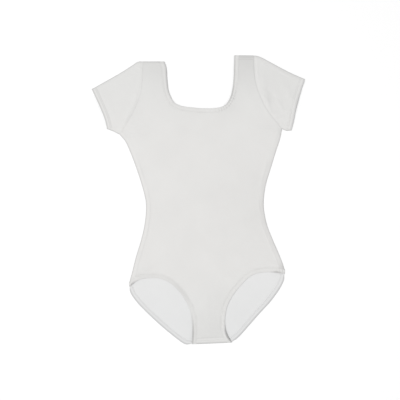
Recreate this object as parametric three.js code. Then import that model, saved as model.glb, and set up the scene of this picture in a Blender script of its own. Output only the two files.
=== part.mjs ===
// A short-sleeved leotard, laid flat on its back with the front side up.
// Millimetres. +X is to the right as it is looked down on, +Y is towards the neck, and +Z is up.
// The origin is on the surface that it lies on, under the middle of the garment.
// "Left" and "right" are as it is looked down on, not as it is worn.
import * as THREE from "three";

// Cloth
const WALL = 1.5; // one layer of jersey
const BAND_WALL = 1.6; // a banded edge, where an elastic strip is folded in two
const BAND_WIDTH = 10;
const BAND_TURN = 18; // over which distance a band swings round to run into its fold
const PROUD = 0.3; // how far bands and hems stand above the jersey beside them
const HEM_DEPTH = 13; // the turned hem of a sleeve
const HEM_STEP = 1.2; // over which distance the hem rises from the sleeve
const CROTCH_TURN = 12; // how far the back turns up over the front at the crotch
const SEAM_GAP = 0.3; // between two pieces at a seam
const STACK = 3.5; // both layers and the air between them, at a folded edge
const FOLD = STACK / 2; // radius of a folded edge
const AIR_RISE = 2; // how much higher the upper layer lies away from the folded and open edges
const AIR_REACH = 34; // over which distance it rises

// How finely the pieces are divided
const STEPS = {
  line: 160,
  strapAcross: 5,
  strapDown: 10,
  neckAcross: 16,
  bodyDown: 16,
  legUpper: 10,
  legLower: 6,
  crotchAcross: 6,
  crotchTurn: 2,
  sleeveAlong: 6,
  halfFold: 3,
};
const BEND_WEIGHT = 40; // millimetres of length that a turn of one radian counts as, so bends get more steps
const RUN_ON = 15; // how far a line is run on straight past its ends where it is cut by another
const CORNER_ROOM = 1; // no point of a folded edge is kept nearer than this to its corners
const EDGE_THINNING = 4; // every fourth point of an edge is enough to measure distances from
const EDGE_FADE = 6; // over which distance ridges fade out at an edge
const RIDGE_TAPER = 0.15; // share of a ridge's length that is left off its profile at each end
const WELD = 0.001; // points nearer together than this are one point

const at = (place, x, y) => ({ place, x, y });

// Side seams, from the underarm down to the leg opening
const SIDE_LEFT = [
  at("underarm", -181, 152.5),
  at("below the arm", -168, 137),
  at("bust", -156, 111),
  at("ribs", -142, 74),
  at("above the waist", -130, 37),
  at("waist", -121, 1),
  at("below the waist", -120, -20),
  at("high hip", -123.5, -55),
  at("hip", -132, -92),
  at("full hip", -143, -128),
  at("low hip", -152.5, -166),
  at("leg opening", -158.7, -190),
  at("corner", -159.2, -204),
];
const SIDE_RIGHT = [
  at("underarm", 192, 165),
  at("below the arm", 188.5, 146),
  at("bust", 178, 113),
  at("ribs", 166, 74),
  at("above the waist", 155, 37),
  at("waist", 150, 1),
  at("below the waist", 151, -23),
  at("high hip", 158, -56),
  at("hip", 172, -92),
  at("full hip", 187.5, -128),
  at("low hip", 195.8, -151),
  at("leg opening", 198.8, -166),
  at("corner", 198.4, -176),
];

// Armhole seams, from the shoulder down to the underarm
const ARMHOLE_LEFT = [
  at("shoulder", -127.5, 320),
  at("cap", -128.5, 289),
  at("chest", -131, 254),
  at("front", -139.5, 226),
  at("turn", -152, 199),
  at("underarm", -180, 154),
];
const ARMHOLE_RIGHT = [
  at("shoulder", 128, 333.5),
  at("cap", 128, 305),
  at("chest", 131.5, 273),
  at("front", 142, 240),
  at("turn", 157, 210),
  at("underarm", 190.5, 167.4),
];

// Shoulder folds and the folds along the top of the sleeves, from the neck out to the cuff
const SHOULDER_LEFT = [
  at("neck", -76, 320.3),
  at("armhole", -127.5, 320.3),
  at("sleeve cap", -139, 319.3),
  at("upper sleeve", -150, 312.5),
  at("middle", -177, 295),
  at("lower sleeve", -210.5, 276),
  at("cuff", -245, 256.5),
];
const SHOULDER_RIGHT = [
  at("neck", 82, 334.5),
  at("armhole", 128, 334),
  at("sleeve cap", 140, 331.5),
  at("upper sleeve", 151, 326.5),
  at("middle", 183, 309),
  at("lower sleeve", 213, 293.5),
  at("cuff", 245, 279.5),
];

// Underarm folds of the sleeves, from the armhole out to the cuff
const UNDERARM_LEFT = [
  at("armhole", -181, 152.5),
  at("middle", -196, 160),
  at("cuff", -209.5, 165),
];
const UNDERARM_RIGHT = [
  at("armhole", 192, 165),
  at("middle", 202, 161.5),
  at("cuff", 213.5, 162),
];

// Sleeve ends, from the upper fold to the lower
const CUFF_LEFT = [
  at("upper fold", -245, 256.5),
  at("above", -236.5, 238.5),
  at("middle", -224, 211),
  at("below", -214.5, 186),
  at("lower fold", -209.5, 165),
];
const CUFF_RIGHT = [
  at("upper fold", 245, 279.5),
  at("above", 237.4, 259),
  at("middle", 225.2, 218),
  at("below", 217.2, 178),
  at("lower fold", 213.5, 162),
];

// Neck opening, from the left shoulder round the scoop to the right shoulder
const NECK = {
  left: -77.5,
  right: 82.5,
  strapsEnd: 219, // where the straps are divided from the body
  front: [
    at("left strap", -74, 307),
    at("left side", -71.5, 275),
    at("above the corner", -69, 255),
    at("into the corner", -63.5, 239),
    at("left corner", -54.5, 225.5),
    at("out of the corner", -40, 218.5),
    at("scoop, left", -14, 214.5),
    at("scoop", 12, 212.5),
    at("scoop, right", 40, 213.5),
    at("into the corner", 55.5, 217),
    at("right corner", 66, 225),
    at("out of the corner", 73.5, 238.5),
    at("above the corner", 78.5, 258),
    at("right side", 81, 283),
    at("right strap", 81.8, 309),
  ],
};
const BACK_NECK_DROP = 5; // the back is cut this much lower than the front
const BACK_NECK_FROM = 320; // where it starts to be lower, and over which distance it becomes so
const BACK_NECK_OVER = 80;

// Leg openings. Their bands are folded at the hip and at the crotch, and turn there to the back.
const LEG_LEFT = {
  hip: -197,
  crotch: -14.7,
  front: [
    at("turn", -148, -188.5),
    at("outer thigh", -136, -181.5),
    at("arch", -114, -177.5),
    at("top", -92, -178),
    at("arch", -70, -186),
    at("arch", -51.5, -200),
    at("inner thigh", -33, -223),
    at("groin", -19, -251),
    at("beside the crotch", -14, -279),
    at("crotch", -13.5, -305),
  ],
  back: [
    at("corner", -157.5, -206),
    at("corner", -154, -215),
    at("seat", -140, -234.3),
    at("seat", -113, -262),
    at("seat", -83, -289.5),
    at("seat", -50, -316.5),
    at("crotch corner", -34.5, -327.5),
    at("crotch corner", -27, -330.2),
    at("crotch corner", -20, -329.4),
  ],
};
const LEG_RIGHT = {
  hip: -168,
  crotch: 77,
  front: [
    at("turn", 176, -164.5),
    at("outer thigh", 153, -164),
    at("arch", 133.5, -167),
    at("arch", 116.5, -175.5),
    at("arch", 98, -194),
    at("inner thigh", 80, -216.5),
    at("groin", 67, -241.5),
    at("beside the crotch", 61.5, -268),
    at("crotch", 62, -291),
    at("below", 67.5, -309.5),
  ],
  back: [
    at("corner", 197, -181),
    at("corner", 191.5, -194),
    at("seat", 184, -207),
    at("seat", 163.5, -234.3),
    at("seat", 138, -262),
    at("seat", 114, -289.5),
    at("seat", 90, -315.5),
  ],
};
const GROIN = { front: -215, back: -292 }; // where each layer is divided above its crotch
const CROTCH_FOLD = [
  at("left", -40, -330.5),
  at("left leg", -14.7, -329.6),
  at("middle", 30, -327.8),
  at("right leg", 77, -325.8),
  at("right", 100, -325),
];

// The largest folds of the upper layer: soft ridges from one end to the other
const RIDGES = [
  { where: "right sleeve cap", x0: 146, y0: 282, x1: 160, y1: 206, half: 8, height: 1.6 },
  { where: "right sleeve, low", x0: 166, y0: 200, x1: 208, y1: 184, half: 9, height: 1.2 },
  { where: "right sleeve, dimple", x0: 167, y0: 244, x1: 177, y1: 231, half: 8, height: -1.5 },
  { where: "right sleeve, outer", x0: 192, y0: 270, x1: 222, y1: 222, half: 9, height: 0.9 },
  { where: "left sleeve cap", x0: -139, y0: 240, x1: -166, y1: 184, half: 8, height: 1.5 },
  { where: "left sleeve, high", x0: -150, y0: 290, x1: -188, y1: 270, half: 8, height: 1 },
  { where: "left sleeve, outer", x0: -216, y0: 246, x1: -194, y1: 192, half: 9, height: 0.8 },
  { where: "left underarm", x0: -170, y0: 158, x1: -118, y1: 182, half: 8, height: 1.2 },
  { where: "left bust", x0: -150, y0: 112, x1: -84, y1: 142, half: 13, height: 0.8 },
  { where: "right underarm", x0: 184, y0: 156, x1: 132, y1: 168, half: 8, height: 1 },
  { where: "right bust", x0: 92, y0: 112, x1: 160, y1: 96, half: 12, height: 0.7 },
  { where: "waist, left", x0: -118, y0: -8, x1: -58, y1: -28, half: 10, height: 0.7 },
  { where: "waist, right", x0: 74, y0: -40, x1: 144, y1: -16, half: 11, height: 0.9 },
  { where: "right hip", x0: 146, y0: -140, x1: 190, y1: -152, half: 8, height: 1.4 },
  { where: "left hip", x0: -148, y0: -160, x1: -108, y1: -146, half: 9, height: 1 },
  { where: "left groin", x0: -44, y0: -190, x1: -4, y1: -150, half: 10, height: 0.8 },
  { where: "right groin", x0: 84, y0: -186, x1: 44, y1: -152, half: 9, height: 0.7 },
];

// Lines are lists of points in plan.

const point = ({ x, y }) => new THREE.Vector2(x, y);

function smoothLine(rows) {
  const through = rows.map(({ x, y }) => new THREE.Vector3(x, y, 0));
  const curve = new THREE.CatmullRomCurve3(through, false, "centripetal");
  return curve.getSpacedPoints(STEPS.line).map(point);
}

const directionAt = (line, i) =>
  line[Math.min(i + 1, line.length - 1)]
    .clone()
    .sub(line[Math.max(i - 1, 0)])
    .normalize();

const leftOf = (direction) => new THREE.Vector2(-direction.y, direction.x);

const reversed = (line) => [...line].reverse();

const joined = (...lines) => lines.flatMap((line, i) => (i ? line.slice(1) : line));

// Every point moved to the left of the line's direction, or to the right where distance is negative.
const beside = (line, distance) =>
  line.map((p, i) => p.clone().addScaledVector(leftOf(directionAt(line, i)), distance));

// The same line, run on straight past both ends.
function runOn(line, distance = RUN_ON) {
  const before = line[0].clone().addScaledVector(directionAt(line, 0), -distance);
  const after = line.at(-1).clone().addScaledVector(directionAt(line, line.length - 1), distance);
  return [before, ...line, after];
}

// The first place where line a meets line b, as a position on a.
function meeting(a, b) {
  for (let i = 0; i < a.length - 1; i++) {
    const along = a[i + 1].clone().sub(a[i]);
    for (let j = 0; j < b.length - 1; j++) {
      const other = b[j + 1].clone().sub(b[j]);
      const cross = along.cross(other);
      if (Math.abs(cross) < 1e-12) continue;
      const between = b[j].clone().sub(a[i]);
      const s = between.cross(other) / cross;
      const t = between.cross(along) / cross;
      if (s >= 0 && s <= 1 && t >= 0 && t <= 1) return i + s;
    }
  }
  throw new Error("two lines of the pattern don't meet");
}

function pointAt(line, position) {
  const i = Math.min(Math.floor(position), line.length - 2);
  return line[i].clone().lerp(line[i + 1], position - i);
}

// The part of a line between two positions on it.
function between(line, from, to) {
  const inner = line.filter((_, i) => i > from + 1e-6 && i < to - 1e-6);
  return [pointAt(line, from), ...inner, pointAt(line, to)];
}

// The part of a line between the lines that it meets first and last.
function cut(line, from, to) {
  const long = runOn(line);
  const last = long.length - 1 - meeting(reversed(long), runOn(to));
  return between(long, meeting(long, runOn(from)), last);
}

const lengthsAlong = (line) =>
  line.reduce((sums, p, i) => [...sums, i ? sums[i - 1] + p.distanceTo(line[i - 1]) : 0], []);

// Positions that divide the line into steps, shorter ones where it bends.
function stations(line, steps) {
  const lengths = lengthsAlong(line);
  let bends = 0;
  const sums = lengths.map((length, i) => {
    const turn = i ? directionAt(line, i).angleTo(directionAt(line, i - 1)) : 0;
    bends += turn * BEND_WEIGHT;
    return length + bends;
  });
  return Array.from({ length: steps + 1 }, (_, k) => {
    const goal = (sums.at(-1) * k) / steps;
    const i = Math.min(Math.max(sums.findIndex((s) => s >= goal - 1e-9), 1), line.length - 1);
    return i - 1 + THREE.MathUtils.clamp((goal - sums[i - 1]) / (sums[i] - sums[i - 1]), 0, 1);
  });
}

const divided = (line, steps) => stations(line, steps).map((position) => pointAt(line, position));

// Each point's share of the way along two lines that run side by side.
function shares(a, b) {
  const [sumsA, sumsB] = [lengthsAlong(a), lengthsAlong(b)];
  return sumsA.map((s, i) => (s / sumsA.at(-1) + sumsB[i] / sumsB.at(-1)) / 2);
}

// A Coons patch: rows of points between four edges. Top and bottom run across, left and right run down.
function patch(top, bottom, left, right) {
  const across = shares(top, bottom);
  const down = shares(left, right);
  return left.map((_, j) =>
    top.map((_, i) => {
      const [u, v] = [across[i], down[j]];
      return new THREE.Vector2()
        .addScaledVector(top[i], 1 - v)
        .addScaledVector(bottom[i], v)
        .addScaledVector(left[j], 1 - u)
        .addScaledVector(right[j], u)
        .addScaledVector(top[0], -(1 - u) * (1 - v))
        .addScaledVector(top.at(-1), -u * (1 - v))
        .addScaledVector(bottom[0], -(1 - u) * v)
        .addScaledVector(bottom.at(-1), -u * v);
    }),
  );
}

// The folded edges, and where the flat cloth beside each of them ends

const edges = {
  sides: [smoothLine(SIDE_LEFT), smoothLine(SIDE_RIGHT)],
  shoulders: [smoothLine(SHOULDER_LEFT), smoothLine(SHOULDER_RIGHT)],
  underarms: [smoothLine(UNDERARM_LEFT), smoothLine(UNDERARM_RIGHT)],
  crotch: smoothLine(CROTCH_FOLD),
};
const HANDS = [1, -1]; // left, right: which way is inwards from a line that runs down or outwards
const flats = {
  sides: edges.sides.map((line, k) => beside(line, HANDS[k] * FOLD)),
  shoulders: edges.shoulders.map((line, k) => beside(line, HANDS[k] * FOLD)),
  underarms: edges.underarms.map((line, k) => beside(line, -HANDS[k] * FOLD)),
  crotch: beside(edges.crotch, FOLD),
};
const armholes = [smoothLine(ARMHOLE_LEFT), smoothLine(ARMHOLE_RIGHT)];
const cuffs = [smoothLine(CUFF_LEFT), smoothLine(CUFF_RIGHT)];

// How high the top of the upper layer is above the surface

const openEdges = [NECK.front, LEG_LEFT.front, LEG_RIGHT.front].map(smoothLine);
const loweredEdges = [
  ...edges.sides,
  ...edges.shoulders,
  ...edges.underarms,
  edges.crotch,
  ...openEdges,
].map((line) => line.filter((_, i) => i % EDGE_THINNING === 0));

function distanceToLine(p, line) {
  const spans = line.slice(1).map((end, i) => {
    const along = end.clone().sub(line[i]);
    const share = THREE.MathUtils.clamp(p.clone().sub(line[i]).dot(along) / along.lengthSq(), 0, 1);
    return p.distanceTo(line[i].clone().addScaledVector(along, share));
  });
  return Math.min(...spans);
}

function ridgeHeight(p, { x0, y0, x1, y1, half, height }) {
  const from = new THREE.Vector2(x0, y0);
  const along = new THREE.Vector2(x1, y1).sub(from);
  const share = THREE.MathUtils.clamp(p.clone().sub(from).dot(along) / along.lengthSq(), 0, 1);
  const off = p.distanceTo(from.addScaledVector(along, share));
  const profile = RIDGE_TAPER + (1 - 2 * RIDGE_TAPER) * share;
  return height * Math.sin(Math.PI * profile) * Math.exp(-((off / half) ** 2));
}

function upperTop(p) {
  const inside = Math.min(...loweredEdges.map((line) => distanceToLine(p, line)));
  const raised = 1 - Math.exp(-((inside / AIR_REACH) ** 2));
  const ridges = RIDGES.reduce((sum, ridge) => sum + ridgeHeight(p, ridge), 0);
  return STACK + Math.max(0, raised * AIR_RISE + Math.min(1, inside / EDGE_FADE) * ridges);
}

// A place on the cloth: angle 0 is on the upper layer, PI on the lower, and between them it is turned
// outwards round a fold. Outer and inner are how far its two faces stand off the jersey's outside.
const UPPER = 0;
const LOWER = Math.PI;

function cloth(p, angle, facing = new THREE.Vector2(), outer = 0, inner = -WALL) {
  const middle = upperTop(p) / 2;
  const place = (off) => {
    const reach = (FOLD + off) * Math.sin(angle);
    const height = middle + (middle + off) * Math.cos(angle);
    return new THREE.Vector3(p.x + facing.x * reach, p.y + facing.y * reach, height);
  };
  return { outer: place(outer), inner: place(inner) };
}

const angles = (from, to, steps) =>
  Array.from({ length: steps + 1 }, (_, k) => from + ((to - from) * k) / steps);

// Which way each point of a folded edge faces. Its two ends can be given, where a seam runs into it.
const facings = (line, hand, first, last) =>
  line.map((_, i) => {
    if (i === 0 && first) return first;
    if (i === line.length - 1 && last) return last;
    return leftOf(directionAt(line, i)).multiplyScalar(hand);
  });

// Rows of cloth that turn round a folded edge, one for each angle.
const rolled = (line, faces, from, to, steps) =>
  angles(from, to, steps).map((angle) => line.map((p, i) => cloth(p, angle, faces[i])));

// A closed wall from sheets that share edges: both sides, and a rim round every open edge.
function wallGeometry(sheets) {
  const found = new Map();
  const outer = [];
  const inner = [];
  const number = (corner) => {
    const key = corner.outer.toArray().map((v) => Math.round(v / WELD)).join();
    if (!found.has(key)) {
      found.set(key, outer.length);
      outer.push(corner.outer);
      inner.push(corner.inner);
    }
    return found.get(key);
  };
  const faces = [];
  for (const sheet of sheets) {
    for (let j = 0; j < sheet.length - 1; j++) {
      for (let i = 0; i < sheet[j].length - 1; i++) {
        const square = [sheet[j][i], sheet[j + 1][i], sheet[j + 1][i + 1], sheet[j][i + 1]];
        const [a, b, c, d] = square.map(number);
        const shortOne = outer[a].distanceTo(outer[c]) <= outer[b].distanceTo(outer[d]);
        const halves = shortOne ? [[a, b, c], [a, c, d]] : [[a, b, d], [b, c, d]];
        faces.push(...halves.filter((f) => new Set(f).size === 3));
      }
    }
  }
  const sides = new Set(faces.flatMap(([a, b, c]) => [`${a},${b}`, `${b},${c}`, `${c},${a}`]));
  const count = outer.length;
  const triangles = faces.flatMap(([a, b, c]) => [a, b, c, a + count, c + count, b + count]);
  for (const side of sides) {
    const [a, b] = side.split(",").map(Number);
    if (!sides.has(`${b},${a}`)) triangles.push(b, a, a + count, b, a + count, b + count);
  }
  const corners = [...outer, ...inner];
  const volume = triangles.reduce((sum, _, k) => {
    if (k % 3) return sum;
    const [a, b, c] = [0, 1, 2].map((n) => corners[triangles[k + n]]);
    return sum + a.dot(b.clone().cross(c));
  }, 0);
  if (volume < 0) triangles.reverse();
  const geometry = new THREE.BufferGeometry().setFromPoints(corners);
  geometry.setIndex(triangles);
  geometry.computeVertexNormals();
  return geometry;
}

// Bands

// Where a band runs into a fold: its outer corner, which way its width runs, and which way the fold faces.
function foldEnd(flat, axis, value, along, hand) {
  const i = flat.findIndex((p, k) => k && (p[axis] - value) * (flat[k - 1][axis] - value) <= 0);
  const share = (value - flat[i - 1][axis]) / (flat[i][axis] - flat[i - 1][axis]);
  const direction = directionAt(flat, i);
  return {
    corner: pointAt(flat, i - 1 + share),
    width: direction.clone().multiplyScalar(along),
    facing: leftOf(direction).multiplyScalar(hand),
  };
}

// One layer of a band between two folds: its edge, which way its width runs, and its seam.
function bandStrip(first, last, rows, hand) {
  const edge = smoothLine([first.corner, ...rows, last.corner]);
  const lengths = lengthsAlong(edge);
  const widths = edge.map((_, i) => {
    const { smoothstep } = THREE.MathUtils;
    const nearFirst = 1 - smoothstep(lengths[i], 0, BAND_TURN);
    const nearLast = 1 - smoothstep(lengths.at(-1) - lengths[i], 0, BAND_TURN);
    return leftOf(directionAt(edge, i))
      .multiplyScalar(hand * (1 - nearFirst - nearLast))
      .addScaledVector(first.width, nearFirst)
      .addScaledVector(last.width, nearLast)
      .normalize();
  });
  const seam = edge.map((p, i) => p.clone().addScaledVector(widths[i], BAND_WIDTH));
  return { edge, widths, seam };
}

// A stretch of a strip between two positions on it.
function stretch(strip, from, to) {
  const lines = Object.entries(strip).map(([name, line]) => [name, between(line, from, to)]);
  return Object.fromEntries(lines);
}

// A stretch in steps: its edge, and both sides of the gap at its seam.
function stepped({ edge, widths, seam }, steps) {
  const positions = stations(seam, steps);
  const across = positions.map((position) => pointAt(widths, position).normalize());
  const middle = positions.map((position) => pointAt(seam, position));
  const half = SEAM_GAP / 2;
  return {
    edge: positions.map((position) => pointAt(edge, position)),
    band: middle.map((p, i) => p.clone().addScaledVector(across[i], -half)),
    panel: middle.map((p, i) => p.clone().addScaledVector(across[i], half)),
  };
}

// A strip in several stretches, split where its seam meets the given lines.
function steppedStrip(strip, splits, steps) {
  const bounds = [0, ...splits.map((line) => meeting(strip.seam, line)), STEPS.line];
  return steps.map((count, k) => stepped(stretch(strip, bounds[k], bounds[k + 1]), count));
}

const neckEnds = flats.shoulders.map((flat, k) =>
  foldEnd(flat, "x", k ? NECK.right : NECK.left, 1, -HANDS[k]),
);
const neckStrip = (rows) => bandStrip(neckEnds[0], neckEnds[1], rows, -1);
const neckBackRows = NECK.front.map(({ place, x, y }) => {
  const share = THREE.MathUtils.smoothstep(BACK_NECK_FROM - y, 0, BACK_NECK_OVER);
  return at(place, x, y - BACK_NECK_DROP * share);
});
const neckSplits = [NECK.left, NECK.right].map((x) => [
  new THREE.Vector2(0, NECK.strapsEnd),
  new THREE.Vector2(2 * x, NECK.strapsEnd),
]);
const neckSteps = [STEPS.strapDown, STEPS.neckAcross, STEPS.strapDown];
const necks = [NECK.front, neckBackRows].map((rows) =>
  steppedStrip(neckStrip(rows), neckSplits, neckSteps),
);

const crotchLines = [1, -1].map((side) =>
  beside(edges.crotch, FOLD + CROTCH_TURN + (side * SEAM_GAP) / 2),
);
const legEnds = [LEG_LEFT, LEG_RIGHT].map(({ hip, crotch }, k) => ({
  hip: foldEnd(flats.sides[k], "y", hip, -1, -HANDS[k]),
  crotch: foldEnd(flats.crotch, "x", crotch, HANDS[k], -1),
}));
const legStrip = (rows, k) => bandStrip(legEnds[k].hip, legEnds[k].crotch, rows, HANDS[k]);
const level = (y) => [edges.sides[0], edges.sides[1]].map(([{ x }]) => new THREE.Vector2(x, y));
const legSteps = [STEPS.legUpper, STEPS.legLower];
const legs = [LEG_LEFT, LEG_RIGHT].map(({ front, back }, k) => ({
  front: steppedStrip(
    legStrip(front, k),
    [level(GROIN.front), ...crotchLines],
    [...legSteps, 1, STEPS.crotchTurn],
  ),
  back: steppedStrip(legStrip(back, k), [level(GROIN.back)], legSteps),
}));

// A band's section, from its seam to its edge: how full its thickness is at each share of its width.
const BAND_SECTION = [
  { share: 0, full: 1 },
  { share: 0.5, full: 1 },
  { share: 0.88, full: 0.96 },
  { share: 0.96, full: 0.74 },
  { share: 1, full: 0.34 },
];

// A closed band: round the front, through a fold, back along the back and through the other fold.
function bandSheet(front, back, first, last) {
  const column = (parts, i) => ({
    seam: parts.flatMap((part) => part.band)[i],
    edge: parts.flatMap((part) => part.edge)[i],
  });
  const columns = (parts, angle) => {
    const [seam, edge] = [joined(...parts.map((p) => p.band)), joined(...parts.map((p) => p.edge))];
    return seam.map((_, i) => ({ seam: seam[i], edge: edge[i], angle }));
  };
  const turn = (place, facing, from, to) =>
    angles(from, to, 2 * STEPS.halfFold)
      .slice(1, -1)
      .map((angle) => ({ ...place, angle, facing }));
  const loop = [
    ...columns(front, UPPER),
    ...turn(column(front, front.flatMap((p) => p.band).length - 1), last.facing, UPPER, LOWER),
    ...reversed(columns(back, LOWER)),
    ...turn(column(front, 0), first.facing, LOWER, UPPER),
  ];
  return BAND_SECTION.map(({ share, full }) =>
    [...loop, loop[0]].map(({ seam, edge, angle, facing }) => {
      const proud = (PROUD * (1 + Math.cos(angle))) / 2;
      const middle = (proud - BAND_WALL) / 2;
      const half = ((proud + BAND_WALL) / 2) * full;
      return cloth(seam.clone().lerp(edge, share), angle, facing, middle + half, middle - half);
    }),
  );
}

// Front and back

const armSeams = armholes.map((line, k) =>
  divided(cut(line, flats.shoulders[k], flats.sides[k]), STEPS.strapDown),
);
const armFacings = armSeams.map((line) => [
  directionAt(line, 0).negate(),
  directionAt(line, line.length - 1),
]);
const armEdges = armSeams.map((line, k) => beside(line, (HANDS[k] * SEAM_GAP) / 2));

// One layer of the body: its flat part, and the strips that roll to the seams at its folded edges.
function panelSheets(neck, hems, upper) {
  const [neckLeft, scoop, neckRight] = neck.map((part) => part.panel);
  const [legEdges, crotchEdges] = [0, 1].map((n) => hems.map((parts) => parts[n].panel));
  const layer = upper ? UPPER : LOWER;
  const flat = (grid) => grid.map((row) => row.map((p) => cloth(p, layer)));
  const seamAngle = Math.PI / 2 - (upper ? 1 : -1) * (SEAM_GAP / STACK);
  const roll = (line, faces) => rolled(line, faces, layer, seamAngle, STEPS.halfFold);
  const turned = (rows) => rows[0].map((_, i) => rows.map((row) => row[i]));
  const column = (grid, i) => grid.map((row) => row.at(i));

  const shoulders = [
    divided([armEdges[0][0], neckLeft[0]], STEPS.strapAcross),
    divided([neckRight.at(-1), armEdges[1][0]], STEPS.strapAcross),
  ];
  const bottoms = [
    divided([armEdges[0].at(-1), neckLeft.at(-1)], STEPS.strapAcross),
    divided([neckRight[0], armEdges[1].at(-1)], STEPS.strapAcross),
  ];
  const straps = [
    patch(shoulders[0], bottoms[0], armEdges[0], neckLeft),
    patch(shoulders[1], bottoms[1], reversed(neckRight), armEdges[1]),
  ];
  const flanks = flats.sides.map((line, k) => {
    const [top, bottom] = [armEdges[k].at(-1), legEdges[k][0]];
    const inner = line
      .slice(1)
      .filter((p) => p.y < top.y - CORNER_ROOM && p.y > bottom.y + CORNER_ROOM);
    return divided([top, ...inner, bottom], STEPS.bodyDown);
  });
  const [groin, base] = [0, -1].map((n) =>
    divided([crotchEdges[0].at(n), crotchEdges[1].at(n)], STEPS.crotchAcross),
  );
  const body = patch(
    joined(bottoms[0], scoop, bottoms[1]),
    joined(legEdges[0], groin, reversed(legEdges[1])),
    flanks[0],
    flanks[1],
  );
  const crotch = patch(groin, base, crotchEdges[0], crotchEdges[1]);
  const sideFacings = flanks.map((line, k) =>
    facings(line, -HANDS[k], armFacings[k][1], legEnds[k].hip.facing),
  );
  const shoulderFacings = [
    facings(shoulders[0], 1, armFacings[0][0], neckEnds[0].facing),
    facings(shoulders[1], 1, neckEnds[1].facing, armFacings[1][0]),
  ];
  return [
    ...straps.map(flat),
    flat(body),
    flat(crotch),
    turned(reversed(roll(column(body, 0), sideFacings[0]))),
    turned(roll(column(body, -1), sideFacings[1])),
    ...shoulders.map((line, k) => reversed(roll(line, shoulderFacings[k]))),
  ];
}

// The crotch end of the back: round the fold, and up over the front as far as its seam.
function crotchTurn() {
  const [left, right] = legs.map(({ front }) => front[3].panel);
  const top = divided([left[0], right[0]], STEPS.crotchAcross);
  const fold = divided([left.at(-1), right.at(-1)], STEPS.crotchAcross);
  const faces = facings(fold, -1, legEnds[0].crotch.facing, legEnds[1].crotch.facing);
  const flap = patch(top, fold, left, right).map((row) => row.map((p) => cloth(p, UPPER)));
  return [...rolled(fold, faces, LOWER, UPPER, 2 * STEPS.halfFold).slice(0, -1), ...reversed(flap)];
}

const frontSheets = panelSheets(necks[0], legs.map(({ front }) => front), true);
const backSheets = [
  ...panelSheets(necks[1], legs.map(({ back }) => back), false),
  crotchTurn(),
];

// Sleeves

// A tube laid flat, from the armhole seam to the cuff, with a raised hem.
function sleeveSheet(k) {
  const seam = beside(armSeams[k], (-HANDS[k] * SEAM_GAP) / 2);
  const [upperFlat, lowerFlat] = [flats.shoulders[k], flats.underarms[k]];
  const acrossSleeve = (depth) =>
    divided(cut(beside(cuffs[k], HANDS[k] * depth), upperFlat, lowerFlat), STEPS.strapDown);
  const [hemStart, hemTop, cuff] = [HEM_DEPTH, HEM_DEPTH - HEM_STEP, 0].map(acrossSleeve);
  const foldLine = (flat, from, to) => {
    const reach = (p) => Math.abs(p.x);
    const [least, most] = [reach(from) + CORNER_ROOM, reach(to) - CORNER_ROOM];
    return [from, ...flat.filter((p) => reach(p) > least && reach(p) < most), to];
  };
  const part = (left, right, steps) =>
    patch(
      divided(foldLine(upperFlat, left[0], right[0]), steps),
      divided(foldLine(lowerFlat, left.at(-1), right.at(-1)), steps),
      left,
      right,
    );
  const main = part(seam, hemStart, STEPS.sleeveAlong);
  const hem = part(hemTop, cuff, 1);
  const plan = main.map((row, j) => [...row, ...hem[j]]);
  const place = (row, faces, angle) =>
    row.map((p, i) => {
      const proud = i > STEPS.sleeveAlong ? (PROUD * (1 + Math.cos(angle))) / 2 : 0;
      return cloth(p, angle, faces[i], proud);
    });
  const turn = (row, hand, first, from, to) => {
    const faces = facings(row, hand, first);
    return angles(from, to, 2 * STEPS.halfFold)
      .slice(1, -1)
      .map((angle) => place(row, faces, angle));
  };
  const still = [];
  return [
    ...plan.map((row) => place(row, still, UPPER)),
    ...turn(plan.at(-1), HANDS[k], armFacings[k][1], UPPER, LOWER),
    ...reversed(plan).map((row) => place(row, still, LOWER)),
    ...turn(plan[0], -HANDS[k], armFacings[k][0], LOWER, UPPER),
    place(plan[0], still, UPPER),
  ];
}

// The pieces

const jersey = () =>
  new THREE.MeshStandardMaterial({ color: 0xe4e3e0, roughness: 0.85, metalness: 0 });
const elastic = () =>
  new THREE.MeshStandardMaterial({ color: 0xdfdedb, roughness: 0.8, metalness: 0 });

const legBand = (k) =>
  bandSheet(legs[k].front, legs[k].back, legEnds[k].hip, legEnds[k].crotch);

const PIECES = [
  { name: "front_panel", sheets: frontSheets, material: jersey() },
  { name: "back_panel", sheets: backSheets, material: jersey() },
  { name: "sleeve_left", sheets: [sleeveSheet(0)], material: jersey() },
  { name: "sleeve_right", sheets: [sleeveSheet(1)], material: jersey() },
  { name: "neck_band", sheets: [bandSheet(necks[0], necks[1], ...neckEnds)], material: elastic() },
  { name: "leg_band_left", sheets: [legBand(0)], material: elastic() },
  { name: "leg_band_right", sheets: [legBand(1)], material: elastic() },
];

const leotard = new THREE.Group();
leotard.name = "leotard";
for (const { name, sheets, material } of PIECES) {
  const mesh = new THREE.Mesh(wallGeometry(sheets), material);
  mesh.name = name;
  leotard.add(mesh);
}

const middle = new THREE.Box3().setFromObject(leotard).getCenter(new THREE.Vector3());
for (const mesh of leotard.children) mesh.geometry.translate(-middle.x, -middle.y, 0);

export default leotard;
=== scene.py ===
# %% [markdown]
# A short-sleeved leotard of white stretch jersey, laid flat with its front side up. The solids already hold its
# real size and its largest folds. Here each of them is dressed in a finer shell of the same cut, with seams,
# stitches, soft creases and the knit of the cloth. Everything is in metres in the frame of the solids.

# %% Load the frame
import math

import bmesh
import bpy
import numpy as np
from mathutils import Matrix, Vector, noise


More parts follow.
